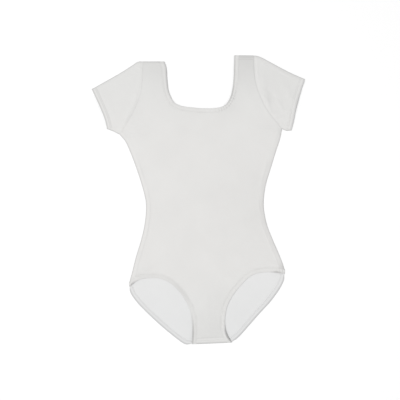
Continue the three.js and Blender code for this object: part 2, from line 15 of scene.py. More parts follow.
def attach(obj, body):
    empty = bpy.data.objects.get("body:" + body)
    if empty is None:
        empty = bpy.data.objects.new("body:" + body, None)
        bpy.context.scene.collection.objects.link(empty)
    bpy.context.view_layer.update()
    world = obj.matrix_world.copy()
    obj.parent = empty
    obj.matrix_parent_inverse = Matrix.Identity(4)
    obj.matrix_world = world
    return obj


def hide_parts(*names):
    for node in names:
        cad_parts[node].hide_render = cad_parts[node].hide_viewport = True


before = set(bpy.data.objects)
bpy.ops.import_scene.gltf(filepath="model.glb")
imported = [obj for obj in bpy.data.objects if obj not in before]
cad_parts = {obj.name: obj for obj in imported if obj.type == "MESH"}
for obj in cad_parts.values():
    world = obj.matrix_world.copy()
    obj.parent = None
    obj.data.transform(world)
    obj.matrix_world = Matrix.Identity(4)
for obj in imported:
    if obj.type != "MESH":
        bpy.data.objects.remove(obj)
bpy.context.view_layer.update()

print("solids:", sorted(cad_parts))

# %% [markdown]
# Measures of the cloth, in millimetres. A wall of jersey is 1.1 mm thick here. Where two layers meet in a fold they
# are 3.5 mm high, and between the folds a little air lifts the upper layer.

# %% Measures
MM = 0.001
WALL = 1.1  # the solids have 1.5
BAND_WALL = 1.6
BAND_WIDTH = 10
BAND_TURN = 18
PROUD = 0.3
HEM_DEPTH = 13
HEM_STEP = 1.2
CROTCH_TURN = 12
SEAM_GAP = 0.06  # sewn pieces meet more closely here than the solids do
STACK = 3.5
FOLD = STACK / 2
AIR_RISE = 2
AIR_REACH = 34
EDGE_DROP = 1.1  # how much lower the upper layer is where it starts to fold
EDGE_DROP_REACH = 2.4
BEND_WEIGHT = 40  # millimetres of line that a bend of one radian counts for, where points are shared out
CURVE_STEPS = 40  # between two points of a table
LINE_STEPS = 320
RUN_ON = 15
BACK_NECK_DROP = 5
NECK_TOP, NECK_DROP_OVER = 320, 80  # where the back's neckline starts to drop, and over which height it does
HELD_REACH = 6  # creases fade out over this distance from an edge
TINY = 1e-9
NEAR = 1e-6  # steps: a point of a line so close to a cut counts as the cut
CLEAR = 1  # the points of a fold stay this far from its ends
ON_FLOOR = -0.999  # cosine of a fold's angle: past this the cloth lies on the floor
RIDGE_END = 0.15  # how far round its half wave a ridge starts and stops
MIDDLE = (0.052, 2.27)  # middle of the outline in the frame of the tables below
HANDS = (1, -1)  # left, right

# %% [markdown]
# The outline. A garment's pattern is a handful of curves, so each table holds only the points that such a curve
# needs, in the order in which a maker would draw it. The left and right sides differ, because it lies a little askew.

# %% Outline
SIDES = (
    [(-181, 152.5), (-168, 137), (-156, 111), (-142, 74), (-130, 37), (-121, 1), (-120, -20), (-123.5, -55),
     (-132, -92), (-143, -128), (-152.5, -166), (-158.7, -190), (-159.2, -204)],
    [(192, 165), (188.5, 146), (178, 113), (166, 74), (155, 37), (150, 1), (151, -23), (158, -56), (172, -92),
     (187.5, -128), (195.8, -151), (198.8, -166), (198.4, -176)],
)
ARMHOLES = (
    [(-127.5, 320), (-128.5, 289), (-131, 254), (-139.5, 226), (-152, 199), (-180, 154)],
    [(128, 333.5), (128, 305), (131.5, 273), (142, 240), (157, 210), (190.5, 167.4)],
)
SHOULDERS = (
    [(-76, 320.3), (-127.5, 320.3), (-139, 319.3), (-150, 312.5), (-177, 295), (-210.5, 276), (-245, 256.5)],
    [(82, 334.5), (128, 334), (140, 331.5), (151, 326.5), (183, 309), (213, 293.5), (245, 279.5)],
)
UNDERARMS = (
    [(-181, 152.5), (-196, 160), (-209.5, 165)],
    [(192, 165), (202, 161.5), (213.5, 162)],
)
CUFFS = (
    [(-245, 256.5), (-236.5, 238.5), (-224, 211), (-214.5, 186), (-209.5, 165)],
    [(245, 279.5), (237.4, 259), (225.2, 218), (217.2, 178), (213.5, 162)],
)
NECK_ENDS = (-77.5, 82.5)
STRAPS_END = 219
NECK = [(-74, 307), (-71.5, 275), (-69, 255), (-63.5, 239), (-54.5, 225.5), (-40, 218.5), (-14, 214.5),
        (12, 212.5), (40, 213.5), (55.5, 217), (66, 225), (73.5, 238.5), (78.5, 258), (81, 283), (81.8, 309)]
HIPS = (-197, -168)
CROTCHES = (-14.7, 77)
LEGS_FRONT = (
    [(-148, -188.5), (-136, -181.5), (-114, -177.5), (-92, -178), (-70, -186), (-51.5, -200), (-33, -223),
     (-19, -251), (-14, -279), (-13.5, -305)],
    [(176, -164.5), (153, -164), (133.5, -167), (116.5, -175.5), (98, -194), (80, -216.5), (67, -241.5),
     (61.5, -268), (62, -291), (67.5, -309.5)],
)
LEGS_BACK = (
    [(-157.5, -206), (-154, -215), (-140, -234.3), (-113, -262), (-83, -289.5), (-50, -316.5),
     (-34.5, -327.5), (-27, -330.2), (-20, -329.4)],
    [(197, -181), (191.5, -194), (184, -207), (163.5, -234.3), (138, -262), (114, -289.5), (90, -315.5)],
)
GROIN = (-215, -292)  # front, back
CROTCH_FOLD = [(-40, -330.5), (-14.7, -329.6), (30, -327.8), (77, -325.8), (100, -325)]

# %% [markdown]
# Lines are rows of points in plan. A centripetal Catmull-Rom curve runs through the points of a table without
# overshooting, as a tailor's curve does. The other helpers move, cut and divide such lines.

# %% Lines


def smooth_line(rows, steps=LINE_STEPS):
    points = np.array(rows, float)
    ends = [2 * points[0] - points[1], *points, 2 * points[-1] - points[-2]]
    found = [points[:1]]
    for p0, p1, p2, p3 in zip(ends, ends[1:], ends[2:], ends[3:]):
        t1 = np.linalg.norm(p1 - p0) ** 0.5
        t2 = t1 + np.linalg.norm(p2 - p1) ** 0.5
        t3 = t2 + np.linalg.norm(p3 - p2) ** 0.5
        t = np.linspace(t1, t2, CURVE_STEPS + 1)[1:, None]
        a1 = (t1 - t) / t1 * p0 + t / t1 * p1
        a2 = (t2 - t) / (t2 - t1) * p1 + (t - t1) / (t2 - t1) * p2
        a3 = (t3 - t) / (t3 - t2) * p2 + (t - t2) / (t3 - t2) * p3
        b1 = (t2 - t) / t2 * a1 + t / t2 * a2
        b2 = (t3 - t) / (t3 - t1) * a2 + (t - t1) / (t3 - t1) * a3
        found.append((t2 - t) / (t2 - t1) * b1 + (t - t1) / (t2 - t1) * b2)
    line = np.concatenate(found)
    lengths = lengths_along(line)
    goals = np.linspace(0, lengths[-1], steps + 1)
    return np.stack([np.interp(goals, lengths, line[:, k]) for k in (0, 1)], 1)


def lengths_along(line):
    steps = np.linalg.norm(np.diff(line, axis=0), axis=1)
    return np.concatenate([[0], np.cumsum(steps)])


def unit(vectors):
    return vectors / np.maximum(np.linalg.norm(vectors, axis=-1, keepdims=True), TINY)


def directions(line):
    padded = np.concatenate([line[:1], line, line[-1:]])
    return unit(padded[2:] - padded[:-2])


def left_of(vectors):
    return np.stack([-vectors[..., 1], vectors[..., 0]], -1)


def beside(line, distance):
    return line + left_of(directions(line)) * distance


def run_on(line):
    along = directions(line)
    return np.concatenate([[line[0] - along[0] * RUN_ON], line, [line[-1] + along[-1] * RUN_ON]])


def meeting(a, b):
    """Where line a first crosses line b, as a number of steps along a."""
    for i in range(len(a) - 1):
        along = a[i + 1] - a[i]
        other = b[1:] - b[:-1]
        cross = along[0] * other[:, 1] - along[1] * other[:, 0]
        cross[np.abs(cross) < TINY] = np.inf
        between_ends = b[:-1] - a[i]
        s = (between_ends[:, 0] * other[:, 1] - between_ends[:, 1] * other[:, 0]) / cross
        t = (between_ends[:, 0] * along[1] - between_ends[:, 1] * along[0]) / cross
        hit = (s >= 0) & (s <= 1) & (t >= 0) & (t <= 1) & np.isfinite(cross)
        if hit.any():
            return i + s[np.argmax(hit)]
    raise ValueError("two lines of the pattern don't meet")


def points_at(line, positions):
    line, positions = np.asarray(line), np.atleast_1d(positions)
    i = np.minimum(positions.astype(int), len(line) - 2)
    share = (positions - i)[:, None]
    return line[i] * (1 - share) + line[i + 1] * share


def between(line, first, last):
    inner = [p for i, p in enumerate(line) if first + NEAR < i < last - NEAR]
    return np.array([points_at(line, first)[0], *inner, points_at(line, last)[0]])


def cut(line, first, last):
    """The part of a line from where it crosses first to where it crosses last."""
    long = run_on(line)
    end = len(long) - 1 - meeting(long[::-1], run_on(last))
    return between(long, meeting(long, run_on(first)), end)


def eased(steps, start=1.0, end=1.0, haste=7):
    """Shares from 0 to 1 whose steps are start and end times as long near the two ends."""
    middle = (np.arange(steps) + 0.5) / steps
    size = 1 - (1 - start) * np.exp(-middle * haste) - (1 - end) * np.exp(-(1 - middle) * haste)
    return np.concatenate([[0], np.cumsum(size) / size.sum()])


def smooth_step(share):
    share = np.clip(share, 0, 1)
    return share * share * (3 - 2 * share)


def stations(line, shares):
    along = directions(line)
    turns = np.arccos(np.clip((along[1:] * along[:-1]).sum(1), -1, 1))
    measure = lengths_along(line) + np.concatenate([[0], np.cumsum(turns)]) * BEND_WEIGHT
    return np.interp(np.asarray(shares) * measure[-1], measure, np.arange(len(line)))


def divided(line, shares):
    line = np.asarray(line)
    return points_at(line, stations(line, shares))


print("neckline:", round(lengths_along(smooth_line(NECK))[-1]), "mm in front")

# %% [markdown]
# A Coons patch fills the space between four edges. It is how a pattern piece with four curved sides becomes a grid
# of small quads that follow its edges.

# %% Patches


def patch(top, bottom, left, right):
    def share(a, b):
        a, b = lengths_along(a), lengths_along(b)
        return (a / a[-1] + b / b[-1]) / 2

    u = share(top, bottom)[None, :, None]
    v = share(left, right)[:, None, None]
    corners = (1 - u) * (1 - v) * top[0] + u * (1 - v) * top[-1] + (1 - u) * v * bottom[0] + u * v * bottom[-1]
    return (1 - v) * top[None] + v * bottom[None] + (1 - u) * left[:, None] + u * right[:, None] - corners


# %% [markdown]
# Two layers that meet in a fold are rounded there, like the edge of a folded towel. So the flat part of each layer
# ends half a fold inside the outline, and a quarter circle of cloth fills the rest.

# %% Folded edges
sides = [smooth_line(rows) for rows in SIDES]
shoulders = [smooth_line(rows) for rows in SHOULDERS]
underarms = [smooth_line(rows) for rows in UNDERARMS]
armholes = [smooth_line(rows) for rows in ARMHOLES]
cuffs = [smooth_line(rows) for rows in CUFFS]
crotch_fold = smooth_line(CROTCH_FOLD)

flat_sides = [beside(line, h * FOLD) for line, h in zip(sides, HANDS)]
flat_shoulders = [beside(line, h * FOLD) for line, h in zip(shoulders, HANDS)]
flat_underarms = [beside(line, -h * FOLD) for line, h in zip(underarms, HANDS)]
flat_crotch = beside(crotch_fold, FOLD)
print("waist:", round(sides[1][:, 0].min() - sides[0][:, 0].max()), "mm across")

# %% [markdown]
# How the cloth lies. The upper layer rises a little away from its folded edges, and it has creases. Each row of a
# table is one soft ridge or, with a negative height, one trough: where it starts and ends, how far it bows to the
# side, its half width and its height. They are uneven on purpose, because even creases look pressed.

# %% Folds and creases
RIDGES = [  # name, x0, y0, x1, y1, bow, half width, height
    ("right sleeve cap", 146, 282, 160, 206, 0, 8, 1.6),
    ("right sleeve, low", 166, 200, 208, 184, 0, 9, 1.2),
    ("right sleeve, dimple", 167, 244, 177, 231, 0, 8, -1.5),
    ("right sleeve, outer", 192, 270, 222, 222, 0, 9, 0.9),
    ("left sleeve cap", -139, 240, -166, 184, 0, 8, 1.5),
    ("left sleeve, high", -150, 290, -188, 270, 0, 8, 1.0),
    ("left sleeve, outer", -216, 246, -194, 192, 0, 9, 0.8),
    ("left underarm", -170, 158, -118, 182, 0, 8, 1.2),
    ("left bust", -150, 112, -84, 142, 0, 13, 0.8),
    ("right underarm", 184, 156, 132, 168, 0, 8, 1.0),
    ("right bust", 92, 112, 160, 96, 0, 12, 0.7),
    ("waist, left", -118, -8, -58, -28, 0, 10, 0.7),
    ("waist, right", 74, -40, 144, -16, 0, 11, 0.9),
    ("right hip", 146, -140, 190, -152, 0, 8, 1.4),
    ("left hip", -148, -160, -108, -146, 0, 9, 1.0),
    ("left groin", -44, -190, -4, -150, 0, 10, 0.8),
    ("right groin", 84, -186, 44, -152, 0, 9, 0.7),
]
CREASES = [  # the same columns, for the finer ones that only this shell has
    ("left sleeve fold", -141, 308, -128, 298, 1, 2.2, 0.5),
    ("left sleeve fold", -151, 302, -136, 292, -1, 2.4, 0.45),
    ("left sleeve fold", -163, 296, -150, 284, 1, 2.6, 0.4),
    ("left sleeve fold", -196, 277, -186, 268, 0, 2.2, 0.35),
    ("left sleeve fold", -207, 271, -199, 260, 1, 2.4, 0.45),
    ("left cuff", -222, 246, -214, 226, 1, 2.6, 0.5),
    ("left cuff", -213, 222, -206, 200, -1, 2.8, 0.4),
    ("left seam", -134, 262, -141, 236, 1, 3.2, -0.5),
    ("left seam", -160, 196, -172, 176, 0, 2.8, 0.5),
    ("left underarm", -176, 166, -164, 148, 0, 2.6, 1.0),
    ("left underarm", -168, 158, -146, 170, 2, 2.4, -0.9),
    ("left underarm", -158, 142, -132, 152, 2, 3.4, 0.8),
    ("right sleeve fold", 146, 318, 160, 308, -1, 2.2, 0.5),
    ("right sleeve fold", 156, 312, 172, 300, 1, 2.4, -0.4),
    ("right sleeve fold", 186, 298, 204, 288, 1, 2.4, 0.45),
    ("right sleeve fold", 206, 288, 222, 276, 0, 2.2, 0.35),
    ("right sleeve cap", 134, 296, 143, 256, 2, 3.2, 0.6),
    ("right sleeve cap", 150, 262, 168, 250, -2, 4.0, -0.6),
    ("right sleeve", 176, 234, 194, 208, 2, 4.0, 1.0),
    ("right sleeve", 152, 236, 166, 214, 2, 3.4, 0.9),
    ("right cuff", 226, 248, 218, 214, 1, 3.0, 0.5),
    ("right cuff", 214, 206, 206, 182, 0, 2.8, 0.45),
    ("right armhole", 131, 322, 131, 276, 1, 2.4, -0.8),
    ("right underarm", 186, 176, 168, 190, 1, 2.8, 0.6),
    ("right underarm", 188, 160, 164, 152, -2, 3.0, 0.5),
    ("chest", -96, 196, -70, 178, 2, 5.0, 0.35),
    ("chest", 92, 206, 74, 184, -2, 5.0, 0.4),
    ("left side", -142, 88, -122, 80, 1, 3.6, 0.45),
    ("left side", -130, 48, -108, 42, -1, 3.8, 0.4),
    ("left side", -118, 4, -92, 8, 2, 3.8, 0.5),
    ("left side", -119, -36, -98, -30, -1, 3.6, 0.35),
    ("left side", -134, -104, -112, -98, 1, 4.0, 0.4),
    ("right side", 166, 82, 146, 90, 1, 3.8, 0.4),
    ("right side", 154, 38, 128, 30, 2, 3.6, 0.5),
    ("right side", 150, -6, 120, 2, -2, 4.0, 0.55),
    ("right side", 154, -44, 134, -40, 1, 3.4, 0.4),
    ("right side", 176, -104, 150, -98, -1, 4.0, 0.45),
    ("belly", -40, -60, 18, -68, 4, 8.0, 0.35),
    ("belly", 6, -112, 64, -104, -4, 9.0, 0.35),
    ("right hip", 196, -152, 176, -147, 1, 2.6, 0.9),
    ("right hip", 192, -141, 170, -134, -1, 3.0, -0.5),
    ("left hip", -153, -172, -132, -164, 1, 3.0, 0.6),
    ("crotch", 2, -296, 44, -291, 2, 3.0, 0.4),
    ("crotch", 8, -307, 50, -303, -2, 2.6, 0.4),
    ("crotch", -4, -268, 20, -244, 2, 4.0, 0.35),
    ("crotch", 58, -262, 40, -236, -2, 4.0, 0.35),
]
LIFTS = (  # where an edge stands off the layer below it
    ("crotch edge, left", -13, -276, -14.5, -322, 0, 5, 1.5),
    ("crotch edge, right", 61, -284, 71, -320, 0, 5.5, 2.0),
    ("hip corner, right", 172, -164, 190, -166, 0, 4.5, 3.0),
    ("hip corner, left", -142, -184, -154, -193, 0, 4, 1.8),
    ("shoulder, right", 88, 322, 88, 250, 0, 6, 0.6),
)


def distance_to_line(points, line):
    best = np.full(len(points), np.inf)
    for a, b in zip(line, line[1:]):
        along = b - a
        share = np.clip(((points - a) @ along) / max(along @ along, TINY), 0, 1)
        best = np.minimum(best, np.linalg.norm(points - a - share[:, None] * along, axis=1))
    return best


def soft_lines(points, table):
    total = np.zeros(len(points))
    for _, x0, y0, x1, y1, bow, half, height in table:
        start, along = np.array([x0, y0], float), np.array([x1 - x0, y1 - y0], float)
        share = np.clip(((points - start) @ along) / (along @ along), 0, 1)
        sag = (4 * share * (1 - share) * bow)[:, None] * left_of(unit(along))
        off = np.linalg.norm(points - start - share[:, None] * along - sag, axis=1)
        wave = np.sin(np.pi * (RIDGE_END + (1 - 2 * RIDGE_END) * share))
        total += height * wave * np.exp(-((off / half) ** 2))
    return total


def near_line(points, line, half):
    """1 on the line, and fading to 0 at about three times half away from it."""
    found = np.zeros(len(points))
    close = np.all((points > line.min(0) - 3 * half) & (points < line.max(0) + 3 * half), axis=1)
    if close.any():
        found[close] = np.exp(-((distance_to_line(points[close], line) / half) ** 2))
    return found


def nearest_line(points, lines, half):
    return np.max([near_line(points, line, half) for line in lines], axis=0)


def unevenness(points, scale, seed):
    return np.array([noise.noise(Vector((x / scale, y / scale, seed))) for x, y in points])


WAVES = ((0.35, 38, 3.1), (0.12, 13, 7.7))  # the cloth's small unevenness: height, size, seed
EDGE_SETTLE = 0.6  # how far the upper edge of a leg opening sinks onto the layer below
SETTLE_REACH, SETTLE_CLEAR, LIFT_CLEAR = 9, 16, 4  # how wide it sinks, and how far from a fold sinks and lifts stay

open_edges = [smooth_line(rows) for rows in (NECK, *LEGS_FRONT)]
folded_edges = [line[::8] for line in (*flat_sides, *flat_shoulders, *flat_underarms, flat_crotch)]
lowered_edges = [line[::8] for line in (*sides, *shoulders, *underarms, crotch_fold, *open_edges)]


def upper_top(points):
    """Height of the upper layer's top above the floor."""
    near = np.clip(nearest_line(points, lowered_edges, AIR_REACH), TINY, 1)
    held = np.minimum(1, AIR_REACH * np.sqrt(-np.log(near)) / HELD_REACH)
    at_fold = nearest_line(points, folded_edges, EDGE_DROP_REACH)
    fine = soft_lines(points, CREASES)
    for height, size, seed in WAVES:
        fine = fine + height * unevenness(points, size, seed)
    lift = soft_lines(points, LIFTS) * (1 - nearest_line(points, folded_edges, LIFT_CLEAR))
    settled = EDGE_SETTLE * nearest_line(points, open_edges[1:], SETTLE_REACH)
    settled = settled * (1 - nearest_line(points, folded_edges, SETTLE_CLEAR))
    air = np.maximum(0, (1 - near) * AIR_RISE + held * (soft_lines(points, RIDGES) + fine))
    return STACK - EDGE_DROP * at_fold + air + lift - settled


print("creases:", len(RIDGES) + len(CREASES))

# %% [markdown]
# The bands. Each strip of elastic follows an edge. Its width points into the garment, and near a fold it swings
# round until it runs along the fold, so that the front and the back half of the strip meet there.

# %% Bands in plan


def fold_end(flat, axis, value, along, hand):
    """Where a band meets a fold: the place on it, which way the band's width points and which way the fold faces."""
    side = flat[:, axis] - value
    i = 1 + int(np.argmax(side[1:] * side[:-1] <= 0))
    share = (value - flat[i - 1, axis]) / (flat[i, axis] - flat[i - 1, axis])
    direction = directions(flat)[i]
    return {
        "corner": points_at(flat, i - 1 + share)[0],
        "width": direction * along,
        "facing": left_of(direction) * hand,
    }


def band_strip(first, last, rows, hand):
    edge = smooth_line([first["corner"], *rows, last["corner"]])
    lengths = lengths_along(edge)[:, None]
    near_first, near_last = (1 - smooth_step(d / BAND_TURN) for d in (lengths, lengths[-1] - lengths))
    normal = left_of(directions(edge)) * hand
    widths = unit(normal * (1 - near_first - near_last) + first["width"] * near_first + last["width"] * near_last)
    return {"edge": edge, "widths": widths, "seam": edge + widths * BAND_WIDTH}


def stepped_strip(strip, splits, shares):
    """The strip's edge and the two sides of its seam, in parts between the splits, each in its own steps."""
    bounds = [0, *(meeting(strip["seam"], line) for line in splits), LINE_STEPS]
    parts = []
    for first, last, steps in zip(bounds, bounds[1:], shares):
        edge, widths, seam = (between(strip[name], first, last) for name in ("edge", "widths", "seam"))
        places = stations(seam, steps)
        across, middle = unit(points_at(widths, places)), points_at(seam, places)
        parts.append({
            "edge": points_at(edge, places),
            "band": middle - across * SEAM_GAP / 2,
            "panel": middle + across * SEAM_GAP / 2,
        })
    return parts


STRAP_ACROSS = eased(22, 0.3, 0.4)
STRAP_DOWN = eased(96, 0.25, 0.6)
NECK_ACROSS = eased(88)
BODY_DOWN = eased(110, 0.3, 0.3)
LEG_UPPER = eased(50, 0.3, 1)
LEG_LOWER = eased(48, 1, 0.15)
CROTCH_ACROSS = eased(32, 0.4, 0.4)
CROTCH_TURN_DOWN = eased(26)
ONE = eased(1)
QUARTER_FOLD = 6

neck_ends = [fold_end(flat_shoulders[k], 0, NECK_ENDS[k], 1, -HANDS[k]) for k in (0, 1)]


neck_splits = [np.array([(0, STRAPS_END), (2 * x, STRAPS_END)], float) for x in NECK_ENDS]
back_neck = [(x, y - BACK_NECK_DROP * smooth_step((NECK_TOP - y) / NECK_DROP_OVER)) for x, y in NECK]
neck_strips = [band_strip(*neck_ends, rows, -1) for rows in (NECK, back_neck)]
necks = [stepped_strip(s, neck_splits, [STRAP_DOWN, NECK_ACROSS, STRAP_DOWN]) for s in neck_strips]

crotch_lines = [beside(crotch_fold, FOLD + CROTCH_TURN + side * SEAM_GAP / 2) for side in (1, -1)]
leg_ends = [
    (fold_end(flat_sides[k], 1, HIPS[k], -1, -HANDS[k]), fold_end(flat_crotch, 0, CROTCHES[k], HANDS[k], -1))
    for k in (0, 1)
]


def level(y):
    return np.array([(sides[0][0][0], y), (sides[1][0][0], y)])


leg_strips = [[band_strip(*leg_ends[k], rows[k], HANDS[k]) for rows in (LEGS_FRONT, LEGS_BACK)] for k in (0, 1)]
legs = [
    (
        stepped_strip(front, [level(GROIN[0]), *crotch_lines], [LEG_UPPER, LEG_LOWER, ONE, CROTCH_TURN_DOWN]),
        stepped_strip(back, [level(GROIN[1])], [LEG_UPPER, LEG_LOWER]),
    )
    for front, back in leg_strips
]
print("neck edge", round(lengths_along(neck_strips[0]["edge"])[-1]), "mm in front")

# %% [markdown]
# Relief that sewing leaves in the cloth: each seam lies in a soft groove, and the seam allowance inside a side seam
# and an armhole shows through as a low ridge. It is real height in the mesh, so it shows from every side.

# %% Relief along the seams
STRAP_ROWS = ((-126, -89), (94, 126.5))  # from and to which x the rows of stitches run
CROTCH_ROW = (-3.5, 66)
CROTCH_GROOVE = (-8, 72)
HEM_DEPTHS, CROTCH_DEPTHS, SHOULDER_DEPTHS = (11, 8), (1.2, 6), (4.5, 9.2)  # of the rows, from their edge or seam
SIDE_ALLOWANCE_IN, ARM_ALLOWANCE_IN = 9.5, 6.5
SEAM_GROOVE = (-0.3, 1.4)  # height, half width
SEAM_DIP = (0.4, 1.4)  # on the inside
ROW_GROOVE = (-0.5, 0.75)  # pulled in by a row of stitches
SIDE_ALLOWANCE = (0.55, 1.8)
ARM_ALLOWANCE = (0.35, 2.2)


def within(line, ends):
    return line[(line[:, 0] > ends[0]) & (line[:, 0] < ends[1])]


arm_seams = [divided(cut(armholes[k], flat_shoulders[k], flat_sides[k]), STRAP_DOWN) for k in (0, 1)]
crotch_seam = beside(crotch_fold, FOLD + CROTCH_TURN)
side_allowances = [beside(line, h * SIDE_ALLOWANCE_IN) for line, h in zip(sides, HANDS)]
arm_allowances = [beside(line, -h * ARM_ALLOWANCE_IN) for line, h in zip(arm_seams, HANDS)]
hem_rows = [[beside(cuffs[k], HANDS[k] * depth) for depth in HEM_DEPTHS] for k in (0, 1)]
crotch_rows = [within(beside(crotch_fold, FOLD + CROTCH_TURN - down), CROTCH_ROW) for down in CROTCH_DEPTHS]
shoulder_rows = [
    [within(beside(shoulders[k], HANDS[k] * down), STRAP_ROWS[k]) for down in SHOULDER_DEPTHS] for k in (0, 1)
]


def thinned(line, steps=80):
    return line[:: max(1, len(line) // steps)]


def summed_relief(points, lines, shape):
    height, half = shape
    return sum(height * near_line(points, thinned(line), half) for line in lines)


def nearest_relief(points, lines, shape):
    height, half = shape
    return height * nearest_line(points, [thinned(line) for line in lines], half)


def panel_relief(points, n, rows):
    seams = [neck_strips[n]["seam"], *arm_seams, *(strips[n]["seam"] for strips in leg_strips)]
    crotch = [] if n else [within(crotch_seam, CROTCH_GROOVE)]
    return nearest_relief(points, [*seams, *crotch], SEAM_GROOVE), summed_relief(points, rows, ROW_GROOVE)


def front_relief(points):
    seams, rows = panel_relief(points, 0, [*crotch_rows, *shoulder_rows[1]])
    return seams + summed_relief(points, side_allowances, SIDE_ALLOWANCE) + rows


def back_relief(points):
    seams, rows = panel_relief(points, 1, shoulder_rows[0])
    return seams + rows


def sleeve_relief(points, k):
    seam = nearest_relief(points, [arm_seams[k]], SEAM_GROOVE)
    raised = summed_relief(points, [arm_allowances[k]], ARM_ALLOWANCE)
    return seam + raised + summed_relief(points, hem_rows[k], ROW_GROOVE)


print("rows of stitches:", len(crotch_rows) + sum(map(len, shoulder_rows)) + sum(map(len, hem_rows)))

# %% [markdown]
# From plan to cloth. A point of the pattern is placed on the upper layer, on the lower layer, or anywhere round a
# fold between them: an angle of 0 is the upper layer and pi the lower. Each point keeps its outer and its inner
# face, which is how a sheet gets a wall of even thickness without a modifier.

# %% From plan to cloth
UPPER, LOWER = 0.0, math.pi


def cloth(points, angle, facing=None, outer=0.0, inner=-WALL, heights=None):
    """Rows of (outer, inner) places for points in plan. angle may be one number or one for each point."""
    shape = points.shape[:-1]
    flat = points.reshape(-1, 2)
    middle = (upper_top(flat) if heights is None else heights.reshape(-1)) / 2
    angle = np.broadcast_to(angle, shape).reshape(-1)
    facing = np.zeros_like(flat) if facing is None else np.broadcast_to(facing, points.shape).reshape(-1, 2)
    places = []
    for off in (outer, inner):
        off = np.broadcast_to(off, shape).reshape(-1)
        off = np.where(np.cos(angle) < ON_FLOOR, np.minimum(off, 0), off)
        reach = ((FOLD + off) * np.sin(angle))[:, None]
        height = middle + (middle + off) * np.cos(angle)
        places.append(np.column_stack([flat + facing * reach, height]).reshape(*shape, 3))
    return np.stack(places)


def facings(line, hand, first, last=None):
    """Which way a fold faces at each point of its line, and at its ends as the seams there need it."""
    found = left_of(directions(line)) * hand
    found[0] = first
    if last is not None:
        found[-1] = last
    return found


def rolled(line, faces, first, last, steps, outer):
    turn = np.linspace(first, last, steps + 1)[:, None]
    points = np.broadcast_to(line, (steps + 1, *line.shape))
    heights = np.broadcast_to(upper_top(line), (steps + 1, len(line)))
    return cloth(points, turn, faces, outer, heights=heights)


print("top of the belly:", round(float(upper_top(np.zeros((1, 2)))[0]), 2), "mm")

# %% [markdown]
# Sheets that share edges are welded into one closed wall. The points of the outer side are matched by place, the
# inner side is laid out in the same way, and every open edge gets a rim. The cloth's own coordinates go into a UV
# map in metres, so that the knit follows each piece's grain.

# %% Walls
WELD = 0.0002  # millimetres: points nearer together than this are one
SHADE_SPREAD = 1.7  # painted shade along a line fades over this distance
SHADE_INSET = 1.4  # how far inside its edge the painted shade on a band or a cuff is darkest
SHARP = math.radians(50)
SHADED_LINES = (  # lines, half width, how dark the painted shade along them is
    ((sides[0], *shoulders, *underarms), SHADE_SPREAD, 0.62),
    ((beside(cuffs[0], SHADE_INSET),), SHADE_SPREAD, 0.5),
    ((beside(cuffs[1], -SHADE_INSET),), SHADE_SPREAD, 0.35),
    ((sides[1],), SHADE_SPREAD, 0.4),
    ((crotch_fold,), 2.2, 0.8),
    ((crotch_seam, *crotch_rows), 0.8, 0.1),
    (shoulder_rows[1], 0.8, 0.3),
    (hem_rows[0], 0.8, 0.3),
    (hem_rows[1], 0.8, 0.08),
    ((arm_seams[0],), 1.2, 0.1),
    ((arm_seams[1],), 1, 0.22),
    (side_allowances, 1, 0.14),
)
# Spots of painted shade on the front, over the straps, the crotch and the right side, and a painted shadow at the
# right hip corner.
SHADED_SPOTS = (  # x, y, reach, how much painted shade darkens the front there
    (-103, 326, 60, 0.17), (106, 330, 66, 0.28), (72, 222, 26, 0.09), (36, -304, 60, 0.13), (112, -20, 90, 0.07),
    (195, -158, 11, 0.3),
)


# Painted shade along the folded edges, the seams and the rows of stitches.
def line_shade(points):
    shades = [darkness * near_line(points, thinned(line), half) for lines, half, darkness in SHADED_LINES for line in lines]
    return np.max(shades, axis=0)


def around(points, table, least=0.0):
    """least everywhere, and more near each place of the table."""
    total = np.zeros(len(points)) + least
    for x, y, reach, more in table:
        total += more * np.exp(-((points[:, 0] - x) ** 2 + (points[:, 1] - y) ** 2) / reach**2)
    return total


def grid_squares(sheets):
    squares, start = [], 0
    for sheet in sheets:
        rows, columns = sheet.shape[1:3]
        n = np.arange(rows * columns).reshape(rows, columns) + start
        squares.append(np.stack([n[:-1, :-1], n[1:, :-1], n[1:, 1:], n[:-1, 1:]], -1).reshape(-1, 4))
        start += rows * columns
    return np.concatenate(squares)


def open_sides(welded, squares):
    """Sides that only one square has: both ends as welded points, then both as points of the sheets."""
    ends, others = welded, np.roll(welded, -1, axis=1)
    real = ends != others
    found = np.stack([ends[real], others[real], squares[real], np.roll(squares, -1, axis=1)[real]], 1).tolist()
    there = {(start, end) for start, end, _, _ in found}
    return np.array([side for side in found if (side[1], side[0]) not in there])


def turn_outwards(mesh):
    shell = bmesh.new()
    shell.from_mesh(mesh)
    if shell.calc_volume(signed=True) < 0:
        bmesh.ops.reverse_faces(shell, faces=shell.faces)
    shell.to_mesh(mesh)
    shell.free()


def add_object(name, data):
    made = bpy.data.objects.new(name, data)
    bpy.context.collection.objects.link(made)
    return made


